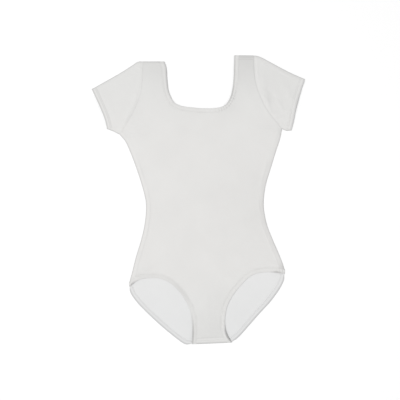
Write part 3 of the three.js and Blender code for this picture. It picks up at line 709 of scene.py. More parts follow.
def wall(name, sheets, grain=0.0, cloth_map=None, edge=None, shaded_spots=()):
    """sheets: arrays of (2, rows, columns, 3), outer and inner. grain is the angle of the knit's ribs from +Y,
    cloth_map gives each point its place on the cloth where the plan doesn't, and edge how much painted shade it has."""
    outer, inner = (np.concatenate([sheet[n].reshape(-1, 3) for sheet in sheets]) for n in (0, 1))
    turn = np.array([[math.cos(grain), -math.sin(grain)], [math.sin(grain), math.cos(grain)]])
    on_cloth = outer[:, :2] @ turn if cloth_map is None else cloth_map.reshape(-1, 2)
    cells = np.round(outer / WELD).astype(np.int64)
    _, first, number = np.unique(cells, axis=0, return_index=True, return_inverse=True)
    count = len(first)
    squares = grid_squares(sheets)
    welded = number.reshape(-1)[squares]
    rim = open_sides(welded, squares)
    rims = np.column_stack([rim[:, 1], rim[:, 0], rim[:, 0] + count, rim[:, 1] + count])
    faces = np.concatenate([welded, welded[:, ::-1] + count, rims]).tolist()
    drawn = np.concatenate([squares, squares[:, ::-1], rim[:, [3, 2, 2, 3]]]).tolist()
    corners = [[c for c in range(4) if face[c] != face[c - 1]] for face in faces]
    kept = [i for i, c in enumerate(corners) if len(c) > 2 and len({faces[i][n] for n in c}) == len(c)]
    places = np.concatenate([outer[first], inner[first]]) - (*MIDDLE, 0)
    mesh = bpy.data.meshes.new(name)
    mesh.from_pydata((places * MM).tolist(), [], [[faces[i][c] for c in corners[i]] for i in kept])
    drawn = np.array([drawn[i][c] for i in kept for c in corners[i]])
    mesh.uv_layers.new(name="cloth").data.foreach_set("uv", (on_cloth[drawn] * MM).astype(np.float32).ravel())
    kept = np.array(kept)
    inside = (kept >= len(welded)) & (kept < 2 * len(welded))
    mesh.polygons.foreach_set("material_index", inside.astype(np.int32))
    # The edge attribute holds painted shade: along folded edges, seams and rows of stitches, and in spots on the
    # front.
    edge = line_shade(outer[:, :2]) + around(outer[:, :2], shaded_spots) if edge is None else edge
    point_shade = np.tile(edge.reshape(-1)[first], 2).astype(np.float32)
    mesh.attributes.new("edge", "FLOAT", "POINT").data.foreach_set("value", point_shade)
    turn_outwards(mesh)
    mesh.polygons.foreach_set("use_smooth", np.ones(len(mesh.polygons), bool))
    mesh.set_sharp_from_angle(angle=SHARP)
    print(name, len(mesh.polygons), "faces")
    return add_object(name, mesh)


# %% [markdown]
# A leotard's front and its back are each cut in one piece. Four Coons patches make such a piece here: two straps, the
# body and the crotch. Along its sides and shoulders the cloth rolls over a quarter of the fold to meet the other
# layer. The back's crotch end turns all the way up over the front, to the seam that shows there.

# %% Front and back
arm_edges = [beside(arm_seams[k], HANDS[k] * SEAM_GAP / 2) for k in (0, 1)]
arm_facings = [(-directions(line)[0], directions(line)[-1]) for line in arm_seams]


def straight(a, b, shares):
    return divided(np.array([a, b]), shares)


def panel_plan(neck, leg_edges, crotch_edges):
    """One layer of the body in plan: two straps, body and crotch, and its lines along the shoulders and the sides."""
    neck_left, scoop, neck_right = (part["panel"] for part in neck)
    mirrored = STRAP_ACROSS[-1] - STRAP_ACROSS[::-1]
    tops, bottoms = (
        [
            straight(arm_edges[0][n], neck_left[n], STRAP_ACROSS),
            straight(neck_right[-1 - n], arm_edges[1][n], mirrored),
        ]
        for n in (0, -1)
    )
    straps = [
        patch(tops[0], bottoms[0], arm_edges[0], neck_left),
        patch(tops[1], bottoms[1], neck_right[::-1], arm_edges[1]),
    ]
    flanks = []
    for k in (0, 1):
        top, bottom = arm_edges[k][-1], leg_edges[k][0]
        inner = [p for p in flat_sides[k][1:] if bottom[1] + CLEAR < p[1] < top[1] - CLEAR]
        flanks.append(divided([top, *inner, bottom], BODY_DOWN))
    groin, base = (straight(crotch_edges[0][n], crotch_edges[1][n], CROTCH_ACROSS) for n in (0, -1))
    top = np.concatenate([bottoms[0], scoop[1:-1], bottoms[1]])
    bottom = np.concatenate([leg_edges[0], groin[1:-1], leg_edges[1][::-1]])
    body = patch(top, bottom, *flanks)
    body[0], body[-1], body[:, 0], body[:, -1] = top, bottom, flanks[0], flanks[1]
    return [*straps, body, patch(groin, base, *crotch_edges)], tops, flanks


def panel_sheets(neck, hems, upper, relief):
    """One layer of the body as sheets of cloth, with a quarter of each fold."""
    leg_edges, crotch_edges = ([hems[k][n]["panel"] for k in (0, 1)] for n in (0, 1))
    patches, tops, flanks = panel_plan(neck, leg_edges, crotch_edges)
    hem_seams = [s[0 if upper else 1]["seam"] for s in leg_strips]
    layer = UPPER if upper else LOWER
    seam_angle = math.pi / 2 - (1 if upper else -1) * SEAM_GAP / STACK

    def flat(grid):
        off = relief(grid.reshape(-1, 2)).reshape(grid.shape[:-1])
        dip = nearest_relief(grid.reshape(-1, 2), hem_seams, SEAM_DIP).reshape(grid.shape[:-1])
        return cloth(grid, layer, outer=off, inner=dip - WALL)

    def roll(line, faces):
        off = relief(line)[None, :]
        return rolled(line, faces, layer, seam_angle, QUARTER_FOLD, np.minimum(off, 0.0))

    side_faces = [
        facings(flanks[k], -HANDS[k], arm_facings[k][1], leg_ends[k][0]["facing"]) for k in (0, 1)
    ]
    top_faces = [
        facings(tops[0], 1, arm_facings[0][0], neck_ends[0]["facing"]),
        facings(tops[1], 1, neck_ends[1]["facing"], arm_facings[1][0]),
    ]
    rolls = [roll(flanks[k], side_faces[k]).transpose(0, 2, 1, 3) for k in (0, 1)]
    return [
        *(flat(grid) for grid in patches),
        rolls[0][:, :, ::-1],
        rolls[1],
        *(roll(tops[k], top_faces[k])[:, ::-1] for k in (0, 1)),
    ]


def crotch_turn():
    left, right = (legs[k][0][3]["panel"] for k in (0, 1))
    top, fold = (straight(left[n], right[n], CROTCH_ACROSS) for n in (0, -1))
    faces = facings(fold, -1, leg_ends[0][1]["facing"], leg_ends[1][1]["facing"])
    points = patch(top, fold, left, right)
    off = front_relief(points.reshape(-1, 2)).reshape(points.shape[:-1])
    flap = cloth(points, UPPER, outer=off)
    fold_off = np.minimum(back_relief(fold), 0.0)[None, :]
    turn = rolled(fold, faces, LOWER, UPPER, 2 * QUARTER_FOLD, fold_off)
    turn[:, -1] = flap[:, -1]
    return np.concatenate([turn, flap[:, -2::-1]], axis=1)


front = wall("front_jersey", panel_sheets(necks[0], [leg[0] for leg in legs], True, front_relief), shaded_spots=SHADED_SPOTS)
back = wall("back_jersey", [*panel_sheets(necks[1], [leg[1] for leg in legs], False, back_relief), crotch_turn()])

# %% [markdown]
# A sleeve is a tube laid flat, so its rows go once all the way round: over the top, round the fold under the arm,
# back along the underside and round the fold at the shoulder. Its hem stands a little above the rest.

# %% Sleeves
SLEEVE_ALONG = eased(46, 0.35, 0.6)
HEM_ALONG = eased(26, 0.6, 0.5)


def across_sleeve(k, depth):
    return divided(cut(beside(cuffs[k], HANDS[k] * depth), flat_shoulders[k], flat_underarms[k]), STRAP_DOWN)


def round_sleeve(plan, raised, k):
    """The whole way round for a grid in plan, whose columns run from the shoulder fold to the underarm fold."""
    relief = sleeve_relief(plan.reshape(-1, 2), k).reshape(plan.shape[:-1])

    def turn(n, hand, first, start, end):
        faces = facings(plan[n], hand, first)
        angles = np.linspace(start, end, 2 * QUARTER_FOLD + 1)[1:-1, None]
        points = np.broadcast_to(plan[n], (len(angles), *plan[n].shape))
        heights = np.broadcast_to(upper_top(plan[n]), points.shape[:2])
        share = (1 + np.cos(angles)) / 2
        outer = (raised + relief[n]) * share + np.minimum(relief[n], 0) * (1 - share)
        return cloth(points, angles, faces, outer, heights=heights)

    upper = cloth(plan, UPPER, outer=raised + relief)
    lower = cloth(plan, LOWER, outer=np.minimum(relief, 0))
    under_arm = turn(-1, HANDS[k], arm_facings[k][1], UPPER, LOWER)
    at_shoulder = turn(0, -HANDS[k], arm_facings[k][0], LOWER, UPPER)
    return np.concatenate([upper, under_arm, lower[:, ::-1], at_shoulder, upper[:, :1]], axis=1)


def sleeve_sheet(k):
    def fold_line(flat, start, end):
        reach = np.abs(flat[:, 0])
        kept = flat[(reach > abs(start[0]) + CLEAR) & (reach < abs(end[0]) - CLEAR)]
        return np.array([start, *kept, end])

    def part(left, right, shares):
        top = divided(fold_line(flat_shoulders[k], left[0], right[0]), shares)
        bottom = divided(fold_line(flat_underarms[k], left[-1], right[-1]), shares)
        return patch(top, bottom, left, right)

    seam = beside(arm_seams[k], -HANDS[k] * SEAM_GAP / 2)
    hem_start, hem_top, cuff = (across_sleeve(k, depth) for depth in (HEM_DEPTH, HEM_DEPTH - HEM_STEP, 0))
    main, hem = part(seam, hem_start, SLEEVE_ALONG), part(hem_top, cuff, HEM_ALONG)
    raised = np.repeat([0, PROUD], [main.shape[1], hem.shape[1]])
    return round_sleeve(np.concatenate([main, hem], axis=1), raised, k)


def sleeve_grain(k):
    along = unit(SHOULDERS[k][-1] - np.array(SHOULDERS[k][2]))
    return math.atan2(along[1], along[0]) - math.pi / 2


sleeves = [
    wall(f"{side}_sleeve_jersey", [sleeve_sheet(k)], sleeve_grain(k)) for k, side in enumerate(("left", "right"))
]

# %% [markdown]
# A band is a strip of elastic folded in two, so it is thicker than the jersey, and its edge is rounded. It is sewn on
# a little stretched: between its stitches it puckers. The puckers are strongest at the right corner of the neck.

# %% Bands
BAND_SECTION = (  # share of the width from seam to edge, and how full the outer and the inner half are there
    (0, 0.86, 0.4), (0.03, 0.94, 0.7), (0.08, 0.99, 0.94), (0.14, 0.94, 1), (0.2, 0.74, 0.9), (0.26, 0.94, 1),
    (0.34, 1, 1), (0.5, 1, 1), (0.62, 0.98, 0.99), (0.74, 0.94, 0.97), (0.84, 0.86, 0.92), (0.91, 0.73, 0.82),
    (0.96, 0.56, 0.66), (0.985, 0.4, 0.46), (1, 0.2, 0.2),
)
BAND_SHARES = [row[0] for row in BAND_SECTION]
EDGE_SHADE_HALF, ROW_SHADE_HALF, MIDDLE_SHADE_HALF = 2.2, 1, 4  # half widths of the painted shade at the edge, the row and the middle
UPPER_HALF = 1  # radians round a fold, up to where a band has the painted shades of its upper half
STITCH_ROW = 0.2  # share of a band's width, where its stitches draw it in
NECK_ALONG, LEG_ALONG = eased(420), eased(330)
PUCKER = 6.8  # millimetres from one pucker to the next
PUCKER_SWAY = 0.9  # how unevenly they follow each other
PUCKER_LEAST = 0.08
PUCKER_FADE = (0.12, 0.9)  # how far round its half wave a pucker is at the seam, and how much further at the edge
PUCKERS = (  # x, y, reach, height
    (74, 240, 30, 1.0), (60, 218, 24, 0.9), (-62, 236, 26, 0.4), (10, 213, 60, 0.2),
    (-60, -190, 60, 0.25), (88, -205, 60, 0.25), (-14, -285, 30, 0.3), (64, -285, 30, 0.3),
    (-150, -192, 12, 0.9), (184, -166, 14, 0.9),
)
EDGE_SHADES = (  # x, y, reach, how much painted shade darkens the upper half of a band there: at its edge
    (90, 300, 46, 0.62), (82, 240, 28, 0.6), (-80, 280, 44, 0.5), (-14, -308, 32, 0.85),
    (68, -310, 18, 1.5), (180, -167, 11, 0.8), (-152, -193, 9, 0.7),
)
ROW_SHADES = ((78, 236, 24, 0.45), (-14, -300, 30, 0.2), (-80, 260, 30, 0.15))  # at its row of stitches
MIDDLE_SHADES = ((-40, -214, 40, 0.24), (-110, -178, 44, 0.08))  # over its whole width


def band_shade(edge, angle):
    """How much painted shade a band has at each point of its rows, from the seam to the edge."""
    upper_half = angle < UPPER_HALF
    shades = (  # where across the band, half width, how dark the painted shade is along it
        (BAND_WIDTH - SHADE_INSET, EDGE_SHADE_HALF, np.where(upper_half, around(edge, EDGE_SHADES, 0.04), 0.6)),
        (STITCH_ROW * BAND_WIDTH, ROW_SHADE_HALF, np.where(upper_half, around(edge, ROW_SHADES, 0.06), 0.2)),
        (BAND_WIDTH / 2, MIDDLE_SHADE_HALF, np.where(upper_half, around(edge, MIDDLE_SHADES), 0)),
    )
    across = np.repeat(BAND_SHARES, len(angle)) * BAND_WIDTH
    rows = len(BAND_SHARES)
    return sum(np.exp(-(((across - at) / half) ** 2)) * np.tile(darkness, rows) for at, half, darkness in shades)


def band_piece(name, front, back, first, last):
    """Round the front, through a fold, back along the back and through the other fold."""
    turn = np.linspace(0, math.pi, 2 * QUARTER_FOLD + 1)[1:-1]
    loop = {}
    for line in ("band", "edge"):
        over, under = front[line], back[line]
        corners = [np.repeat(over[[i]], len(turn), axis=0) for i in (-1, 0)]
        loop[line] = np.concatenate([over, corners[0], under[::-1], corners[1], over[:1]])
    over, under = len(front["band"]), len(back["band"])
    angle = np.concatenate([np.zeros(over), turn, np.full(under, math.pi), turn[::-1], [0.0]])
    facing = np.zeros((len(angle), 2))
    facing[over:over + len(turn)] = last["facing"]
    facing[-1 - len(turn):-1] = first["facing"]
    along = lengths_along(loop["band"])
    count = round(along[-1] / PUCKER)
    phase = along * count * 2 * math.pi / along[-1]
    wave = 0.5 + 0.5 * np.sin(phase + PUCKER_SWAY * np.sin(phase * 2 / count))
    top = (1 + np.cos(angle)) / 2
    proud = PROUD * top
    height = around(loop["band"], PUCKERS, PUCKER_LEAST) * wave * top
    middle, half = (proud - BAND_WALL) / 2, (proud + BAND_WALL) / 2
    at_seam, further = PUCKER_FADE
    rows, drawn = [], []
    for share, over_full, under_full in BAND_SECTION:
        line = loop["band"] * (1 - share) + loop["edge"] * share
        sag = height * math.sin(math.pi * min(1, at_seam + further * share))
        rows.append(cloth(line, angle, facing, middle + half * over_full - sag, middle - half * under_full))
        drawn.append(np.column_stack([np.full(len(along), share * BAND_WIDTH), along]))
    outward = np.column_stack([facing * np.sin(angle)[:, None], np.cos(angle)])
    # Painted shade along the band's edge, its row of stitches and its middle.
    shades = band_shade(loop["edge"], angle)
    piece = wall(name, [np.stack(rows, axis=1)], cloth_map=np.stack(drawn), edge=shades)
    return piece, (rows[BAND_SHARES.index(STITCH_ROW)][0][:-1], outward[:-1], True)


def whole_band(strip, shares):
    return stepped_strip(strip, [], [shares])[0]


neck_layers = [whole_band(strip, NECK_ALONG) for strip in neck_strips]
leg_layers = [[whole_band(strip, LEG_ALONG) for strip in pair] for pair in leg_strips]
neck_band, neck_row = band_piece("neck_elastic", *neck_layers, *neck_ends)
(left_leg_band, left_leg_row), (right_leg_band, right_leg_row) = (
    band_piece(f"{side}_leg_elastic", *leg_layers[k], *leg_ends[k]) for k, side in enumerate(("left", "right"))
)

# %% [markdown]
# Trees of nodes make the stitches and the materials. A node is made in one call here: its settings, and for each of
# its inputs either a value or the output of another node. A group starts with the inputs and outputs that it offers.

# %% Helpers for nodes
FLOAT, VECTOR, COLOUR = "NodeSocketFloat", "NodeSocketVector", "NodeSocketColor"
GEOMETRY = "NodeSocketGeometry"


def plug(tree, node, inputs):
    for name, value in inputs.items():
        if isinstance(value, bpy.types.NodeSocket):
            tree.links.new(value, node.inputs[name])
        else:
            node.inputs[name].default_value = value


def new_node(tree, kind, inputs=None, **settings):
    made = tree.nodes.new(kind)
    for name, value in settings.items():
        setattr(made, name, value)
    plug(tree, made, inputs or {})
    return made


def maths(tree, operation, *values):
    return new_node(tree, "ShaderNodeMath", dict(enumerate(values)), operation=operation).outputs[0]


def new_group(name, kind, sockets):
    """sockets: name, INPUT or OUTPUT, type and, for some, a first value."""
    tree = bpy.data.node_groups.new(name, kind)
    for label, side, socket_type, *value in sockets:
        socket = tree.interface.new_socket(label, in_out=side, socket_type=socket_type)
        if value:
            socket.default_value = value[0]
    return tree, new_node(tree, "NodeGroupInput").outputs


print("kinds of socket:", FLOAT, VECTOR, COLOUR, GEOMETRY)

# %% [markdown]
# Stitches repeat, so Geometry Nodes make them: a tree puts one small arched length of thread on each point of a
# line. Two turns of every second stitch make a zigzag of the same tree. The rows lie in the grooves that they pull
# into the cloth. The result is turned into a plain mesh.

# %% Tree of stitches
THREAD_ARCH = {"Start": (-0.5, -0.5), "Middle": (0, 1.1), "End": (0.5, -0.5)}  # shares of its length and thickness
STITCH_CHANCE = 0.07  # radians that a stitch is off its direction


def stitch_tree():
    tree, given = new_group("stitches", "GeometryNodeTree", (
        ("Line", "INPUT", GEOMETRY), ("Pitch", "INPUT", FLOAT, 0.0027), ("Length", "INPUT", FLOAT, 0.0021),
        ("Thread", "INPUT", FLOAT, 0.00026), ("Swing", "INPUT", FLOAT, 0.0), ("Seed", "INPUT", "NodeSocketInt", 4),
        ("Finish", "INPUT", "NodeSocketMaterial"), ("Stitches", "OUTPUT", GEOMETRY),
    ))

    def node(kind, inputs=None, **settings):
        return new_node(tree, kind, inputs, **settings)

    def product(a, b):
        return maths(tree, "MULTIPLY", a, b)

    arch = {}
    for end, (share, lift) in THREAD_ARCH.items():
        place = {"X": product(given["Length"], share), "Z": product(given["Thread"], lift)}
        arch[end] = node("ShaderNodeCombineXYZ", place).outputs[0]
    thread = node("GeometryNodeCurveQuadraticBezier", {"Resolution": 5, **arch})
    section = node("GeometryNodeCurvePrimitiveCircle", {"Resolution": 6, "Radius": product(given["Thread"], 0.5)})
    tube = {"Curve": thread.outputs[0], "Profile Curve": section.outputs[0], "Fill Caps": True}
    stitch = node("GeometryNodeCurveToMesh", tube)

    path = node("GeometryNodeMeshToCurve", {0: given["Line"]})
    steps = {"Curve": path.outputs[0], "Length": given["Pitch"]}
    spaced = node("GeometryNodeResampleCurve", steps, mode="LENGTH")
    outward = node("GeometryNodeInputNamedAttribute", {"Name": "outward"}, data_type="FLOAT_VECTOR")
    stand = node("FunctionNodeAlignRotationToVector", {"Vector": outward.outputs["Attribute"]}, axis="Z")
    ahead = {"Rotation": stand.outputs[0], "Vector": node("GeometryNodeInputTangent").outputs[0]}
    along = node("FunctionNodeAlignRotationToVector", ahead, axis="X", pivot_axis="Z")
    odd = maths(tree, "MODULO", node("GeometryNodeInputIndex").outputs[0], 2)
    side = maths(tree, "MULTIPLY_ADD", odd, 2, -1)
    off = {2: -STITCH_CHANCE, 3: STITCH_CHANCE, "Seed": given["Seed"]}
    chance = node("FunctionNodeRandomValue", off, data_type="FLOAT")
    turn = {"Z": maths(tree, "ADD", product(side, given["Swing"]), chance.outputs[1])}
    turned = {0: along.outputs[0], 1: node("ShaderNodeCombineXYZ", turn).outputs[0]}
    swung = node("FunctionNodeRotateRotation", turned, rotation_space="LOCAL")
    copies = {"Points": spaced.outputs[0], "Instance": stitch.outputs[0], "Rotation": swung.outputs[0]}
    real = node("GeometryNodeRealizeInstances", {0: node("GeometryNodeInstanceOnPoints", copies).outputs[0]})
    finish = node("GeometryNodeSetMaterial", {"Geometry": real.outputs[0], "Material": given["Finish"]})
    node("NodeGroupOutput", {0: finish.outputs[0]})
    return tree


stitches = stitch_tree()
print("stitch tree:", len(stitches.nodes), "nodes")

# %% [markdown]
# Materials. The jersey is knitted, so its surface is columns of small loops. One group of nodes works out their
# height from the cloth's own coordinates, and a painted shade that darkens the valleys between the ribs, and every
# cloth material takes it at its own gauge. The colour also drifts a little over the piece, as bleached cotton does.

# %% Group of nodes for knit
RIB_SWAY = 1.6  # ribs
LOOP_SHARE = 0.28  # of a rib's height
VALLEY_SHADE = 0.3  # how much painted shade darkens the valleys between the ribs


def knit_group():
    tree, given = new_group("knit", "ShaderNodeTree", (
        ("Cloth", "INPUT", VECTOR), ("Wale", "INPUT", FLOAT, 0.0009), ("Course", "INPUT", FLOAT, 0.0007),
        ("Height", "OUTPUT", FLOAT), ("Tone", "OUTPUT", FLOAT),
    ))

    def work(operation, *values):
        return maths(tree, operation, *values)

    waves = {"Vector": given["Cloth"], "Scale": 60, "Detail": 1}
    drift = new_node(tree, "ShaderNodeTexNoise", waves, noise_dimensions="2D")
    sway = work("MULTIPLY", work("SUBTRACT", drift.outputs["Fac"], 0.5), RIB_SWAY)
    parts = new_node(tree, "ShaderNodeSeparateXYZ", {0: given["Cloth"]}).outputs
    across = work("ADD", work("DIVIDE", parts["X"], given["Wale"]), sway)
    valley = work("MULTIPLY", work("ABSOLUTE", work("SUBTRACT", work("FRACT", across), 0.5)), 2)
    along = work("ADD", work("DIVIDE", parts["Y"], given["Course"]), work("MULTIPLY", valley, 0.5))
    loops = work("SINE", work("MULTIPLY", along, 2 * math.pi))
    rib = work("SUBTRACT", 1, work("MULTIPLY", valley, valley))
    height = work("MULTIPLY", rib, work("ADD", work("MULTIPLY", loops, LOOP_SHARE), 1 - LOOP_SHARE))
    # Painted shade: the valleys between the ribs are darker.
    shade = work("ADD", work("MULTIPLY", height, VALLEY_SHADE), 1 - VALLEY_SHADE)
    new_node(tree, "NodeGroupOutput", {"Height": height, "Tone": shade})
    return tree


knit = knit_group()
print("knit group:", len(knit.nodes), "nodes")

# %% [markdown]
# Tone is shared too. No cloth is quite one colour: it drifts between a lighter and a darker tone, and the knit's
# painted shade in its valleys comes in there. Shade is also painted in: along folded edges, seams and rows of
# stitches, in some spots, and more and more away from the middle of the garment. A second group mixes all this,
# and puts out one colour.

# %% Group of nodes for tone
# Colours of painted shade, which the cloth's colour is multiplied by: at edges, seams, rows and spots, and far from
# the middle.
SHADE_TINT = (0.6, 0.595, 0.6, 1)
FALLOFF_SHADE = (0.978, 0.984, 0.986, 1)
FALLOFF_FROM = (-0.02, 0, 0)
FALLOFF_REACH = (0.55, 0.3, 0.3)  # metres from there: past this the cloth gets painted shade
FALLOFF_FADE = {"From Min": 0.4, "From Max": 1.0, "To Min": 0.0, "To Max": 1.0}


def mixed(tree, factor, a, b, blend="MIX"):
    inputs = {"Factor": factor, "A": a, "B": b}
    return new_node(tree, "ShaderNodeMix", inputs, data_type="RGBA", blend_type=blend).outputs["Result"]


def tone_group():
    tree, given = new_group("cloth_tone", "ShaderNodeTree", (
        ("Place", "INPUT", VECTOR), ("Light", "INPUT", COLOUR), ("Dark", "INPUT", COLOUR), ("Tone", "INPUT", FLOAT),
        ("Edge", "INPUT", FLOAT), ("Color", "OUTPUT", COLOUR),
    ))
    drift = new_node(tree, "ShaderNodeTexNoise", {"Vector": given["Place"], "Scale": 14, "Detail": 3})
    share = maths(tree, "MULTIPLY", given["Tone"], maths(tree, "ADD", drift.outputs["Fac"], 0.5))
    # Painted shade: the cloth gets darker away from the middle of the garment.
    oval = {0: given["Place"], "Location": FALLOFF_FROM, "Scale": FALLOFF_REACH}
    squeezed = new_node(tree, "ShaderNodeMapping", oval, vector_type="TEXTURE").outputs[0]
    far = new_node(tree, "ShaderNodeVectorMath", {0: squeezed}, operation="LENGTH").outputs["Value"]
    fade = new_node(tree, "ShaderNodeMapRange", {"Value": far, **FALLOFF_FADE}, interpolation_type="SMOOTHSTEP")
    colour = mixed(tree, share, given["Dark"], given["Light"])
    colour = mixed(tree, fade.outputs["Result"], colour, FALLOFF_SHADE, "MULTIPLY")
    # Painted shade from the edge attribute.
    colour = mixed(tree, given["Edge"], colour, SHADE_TINT, "MULTIPLY")
    new_node(tree, "NodeGroupOutput", {"Color": colour})
    return tree


tone = tone_group()
print("tone group:", len(tone.nodes), "nodes")

# %% [markdown]
# Each cloth material puts the two groups together at its own gauge and in its own two tones. The inside of jersey is
# smoother and cooler than its outside, and elastic has finer ribs. Sheen gives the soft rim of light on short fibres.
# Thread has no knit, only two tones in fine specks.

# %% Cloth materials


def new_material(name, roughness, specular):
    material = bpy.data.materials.new(name)
    material.use_nodes = True
    tree = material.node_tree
    shader = tree.nodes["Principled BSDF"]
    plug(tree, shader, {"Roughness": roughness, "Specular IOR Level": specular})
    return material, tree, shader


def speckled(name, roughness, specular, scale, dark, light):
    """A material whose colour varies finely between two tones."""
    material, tree, shader = new_material(name, roughness, specular)
    place = new_node(tree, "ShaderNodeTexCoord").outputs["Object"]
    specks = new_node(tree, "ShaderNodeTexNoise", {"Vector": place, "Scale": scale}).outputs["Fac"]
    plug(tree, shader, {"Base Color": mixed(tree, specks, (*dark, 1), (*light, 1))})
    return material


def cloth_material(name, light, dark, wale, course, depth, sheen):
    material, tree, shader = new_material(name, 0.88, 0.25)
    grain = new_node(tree, "ShaderNodeUVMap", uv_map="cloth").outputs[0]
    gauge = {"Cloth": grain, "Wale": wale, "Course": course}
    loops = new_node(tree, "ShaderNodeGroup", gauge, node_tree=knit).outputs
    bump = {"Strength": 0.7, "Distance": depth, "Height": loops["Height"]}
    place = new_node(tree, "ShaderNodeTexCoord").outputs["Object"]
    # The edge attribute carries the painted shade.
    shade_mask = new_node(tree, "ShaderNodeAttribute", attribute_name="edge").outputs["Fac"]
    tones = {"Place": place, "Light": (*light, 1), "Dark": (*dark, 1), "Tone": loops["Tone"], "Edge": shade_mask}
    plug(tree, shader, {
        "Base Color": new_node(tree, "ShaderNodeGroup", tones, node_tree=tone).outputs["Color"],
        "Normal": new_node(tree, "ShaderNodeBump", bump).outputs[0],
        "Sheen Weight": sheen,
        "Sheen Roughness": 0.45,
    })
    return material


thread = speckled("sewing_thread", 0.6, 0.25, 1200, (0.56, 0.555, 0.54), (0.64, 0.634, 0.622))
CLOTHS = {  # lighter and darker tone, rib and loop in metres, depth of the knit in metres, sheen
    "jersey_outside": ((0.634, 0.628, 0.617), (0.578, 0.572, 0.562), 0.0009, 0.0007, 0.00016, 0.12),
    "jersey_inside": ((0.643, 0.642, 0.640), (0.590, 0.589, 0.587), 0.0009, 0.0005, 0.0001, 0.1),
    "elastic_band": ((0.628, 0.622, 0.611), (0.572, 0.566, 0.555), 0.0007, 0.0009, 0.00014, 0.12),
    "elastic_band_inside": ((0.643, 0.642, 0.640), (0.590, 0.589, 0.587), 0.0007, 0.0009, 0.00014, 0.12),
}
cloths = {name: cloth_material(name, *values) for name, values in CLOTHS.items()}
for piece in (front, back, *sleeves):
    piece.data.materials.append(cloths["jersey_outside"])
    piece.data.materials.append(cloths["jersey_inside"])
for piece in (neck_band, left_leg_band, right_leg_band):
    piece.data.materials.append(cloths["elastic_band"])
    piece.data.materials.append(cloths["elastic_band_inside"])
print("materials:", [m.name for m in bpy.data.materials if m.users])

# %% [markdown]
# The rows of stitches. A zigzag holds each band to the jersey, because a zigzag stretches with the edge. Twin rows of
# straight stitches hold the sleeve hems, the seam at the crotch and the shoulder seams. The garment has rolled so
# that the right shoulder's rows lie in front and the left shoulder's at the back.

# %% Rows of stitches
THREAD = 0.24  # millimetres
PRESSED = 0.25  # threads lower than this are pressed flat by the floor
LEAST_HEIGHT = 0.85 * THREAD
ZIGZAG, STRAIGHT = (1.25, 2.1, 0.75), (2.7, 2.2, 0.0)  # pitch and length of a stitch, and radians that it swings
FIRST_SEED = 3


def press(mesh):
    corners = np.empty(3 * len(mesh.vertices), np.float32)
    mesh.vertices.foreach_get("co", corners)
    heights, pressed = corners[2::3], PRESSED * MM
    corners[2::3] = np.where(heights < pressed, pressed * np.exp(heights / pressed - 1), heights)
    mesh.vertices.foreach_set("co", corners)


def sew(name, rows, kind, seed):
    """rows: (places, outward, closed), the places in millimetres."""
    mesh = bpy.data.meshes.new(name)
    places, edges, ups = [], [], []
    for line, outward, closed in rows:
        n = np.arange(len(line)) + sum(map(len, places))
        places.append(np.column_stack([line[:, :2], np.maximum(line[:, 2:], LEAST_HEIGHT)]))
        ups.append(outward)
        edges += [*zip(n[:-1], n[1:])] + ([(n[-1], n[0])] if closed else [])
    mesh.from_pydata(((np.concatenate(places) - (*MIDDLE, 0)) * MM).tolist(), edges, [])
    attribute = mesh.attributes.new("outward", "FLOAT_VECTOR", "POINT")
    attribute.data.foreach_set("vector", np.concatenate(ups).astype(np.float32).ravel())
    piece = add_object(name, mesh)
    sewn = piece.modifiers.new("stitches", "NODES")
    sewn.node_group = stitches
    pitch, length, swing = kind
    sizes = {"Pitch": pitch * MM, "Length": length * MM, "Thread": THREAD * MM}
    given = {**sizes, "Swing": swing, "Seed": seed, "Finish": thread}
    for item in stitches.interface.items_tree:
        if item.name in given:
            sewn[item.identifier] = given[item.name]
    made = bpy.data.meshes.new_from_object(piece.evaluated_get(bpy.context.evaluated_depsgraph_get()))
    piece.modifiers.clear()
    piece.data = made
    made.name = name
    press(made)
    made.polygons.foreach_set("use_smooth", np.ones(len(made.polygons), bool))
    print(name, len(made.polygons), "faces")
    return piece


def hem_row(k, depth):
    plan = np.stack([across_sleeve(k, depth + step) for step in (1, 0, -1)], axis=1)
    outer, inner = round_sleeve(plan, PROUD, k)[:, :-1, 1]
    return outer, unit(outer - inner), True


def flat_row(line, layer, relief):
    outer, inner = cloth(line, layer, outer=relief(line))
    return outer, unit(outer - inner), False


rows_of_stitches = (
    ("neck_stitches", [neck_row], ZIGZAG),
    ("left_leg_stitches", [left_leg_row], ZIGZAG),
    ("right_leg_stitches", [right_leg_row], ZIGZAG),
    ("left_hem_stitches", [hem_row(0, depth) for depth in HEM_DEPTHS], STRAIGHT),
    ("right_hem_stitches", [hem_row(1, depth) for depth in HEM_DEPTHS], STRAIGHT),
    ("crotch_stitches", [flat_row(row, UPPER, front_relief) for row in crotch_rows], STRAIGHT),
    ("left_shoulder_stitches", [flat_row(row, LOWER, back_relief) for row in shoulder_rows[0]], STRAIGHT),
    ("right_shoulder_stitches", [flat_row(row, UPPER, front_relief) for row in shoulder_rows[1]], STRAIGHT),
)
sewn = {name: sew(name, rows, kind, seed) for seed, (name, rows, kind) in enumerate(rows_of_stitches, FIRST_SEED)}

# %% [markdown]
# What each piece stands for. The solids carry the simulation; the finer pieces take their place in the picture, where
# each solid is hidden. The table gives each sheet the size that its cut needs before it is sewn.

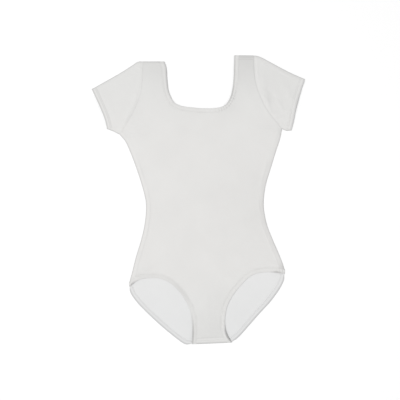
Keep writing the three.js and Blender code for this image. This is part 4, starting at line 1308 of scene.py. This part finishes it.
# %% Pieces and solids
pieces = {  # the piece, its slot, its flat size and area, and the stitches on it
    "front_panel": (front, "jersey", (0.380, 0.650), 0.1415, ["crotch_stitches", "right_shoulder_stitches"]),
    "back_panel": (back, "jersey", (0.380, 0.664), 0.168, ["left_shoulder_stitches"]),
    "sleeve_left": (sleeves[0], "jersey", (0.300, 0.118), 0.0226, ["left_hem_stitches"]),
    "sleeve_right": (sleeves[1], "jersey", (0.300, 0.118), 0.0238, ["right_hem_stitches"]),
    "neck_band": (neck_band, "band", (0.010, 0.668), None, ["neck_stitches"]),
    "leg_band_left": (left_leg_band, "band", (0.010, 0.500), None, ["left_leg_stitches"]),
    "leg_band_right": (right_leg_band, "band", (0.010, 0.480), None, ["right_leg_stitches"]),
}
for node, (piece, slot, flat_size, area, names) in pieces.items():
    sewn_on = [sewn[name] for name in names]
    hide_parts(node)
    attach(piece, "root")
    for row in sewn_on:
        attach(row, "root")
print("sheets:", len(pieces))

# %% [markdown]
# The garment lies on a plain pale floor, wide enough that its rim shows in no view. A floor only needs a faint grain,
# so that it doesn't look like empty space.

# %% Floor
FLOOR_REACH = 30  # metres from the middle of the floor to each side
floor_mesh = bpy.data.meshes.new("floor")
corners = [(x * FLOOR_REACH, y * FLOOR_REACH, 0) for x, y in ((-1, -1), (1, -1), (1, 1), (-1, 1))]
floor_mesh.from_pydata(corners, [], [(0, 1, 2, 3)])
floor_mesh.materials.append(speckled("paper", 0.95, 0.1, 900, [0.80] * 3, [0.83] * 3))
floor = add_object("floor", floor_mesh)
print(f"floor: {2 * FLOOR_REACH} m square")

# %% [markdown]
# One soft light from the left draws the low relief of the cloth. A wider one on the right and the white surroundings
# keep its shadows pale.

# %% Light


def soft_light(name, place, size, power):
    data = bpy.data.lights.new(name, "AREA")
    data.shape, data.size, data.energy = "SQUARE", size, power
    light = add_object(name, data)
    light.location = place
    light.rotation_euler = (-Vector(place)).to_track_quat("-Z", "Y").to_euler()
    return light


key = soft_light("key", place=(-1.75, 0.0, 5.0), size=1.9, power=214)
fill = soft_light("fill", place=(1.6, -0.3, 2.4), size=2.4, power=14)
world = bpy.data.worlds.new("studio")
world.use_nodes = True
plug(world.node_tree, world.node_tree.nodes["Background"], {"Color": (1, 1, 1, 1), "Strength": 0.46})
bpy.context.scene.world = world
bpy.context.scene.view_settings.view_transform = "Standard"
print("lights:", key.name, fill.name)

# %% [markdown]
# The camera looks straight down. A long lens from far above keeps the flat garment in its true proportions up to the
# edge of the picture.

# %% Camera
FRAME_WIDTH = 0.92  # metres across the picture, at the surface that the garment lies on
LENS, SENSOR = 85, 36
AIM = (0.0038, -0.0003)  # the place under the middle of the picture
camera_data = bpy.data.cameras.new("camera")
camera_data.lens, camera_data.sensor_width = LENS, SENSOR
camera = add_object("camera", camera_data)
camera.location = (*AIM, FRAME_WIDTH * LENS / SENSOR)
bpy.context.scene.camera = camera
print("camera height", round(camera.location.z, 3), "m")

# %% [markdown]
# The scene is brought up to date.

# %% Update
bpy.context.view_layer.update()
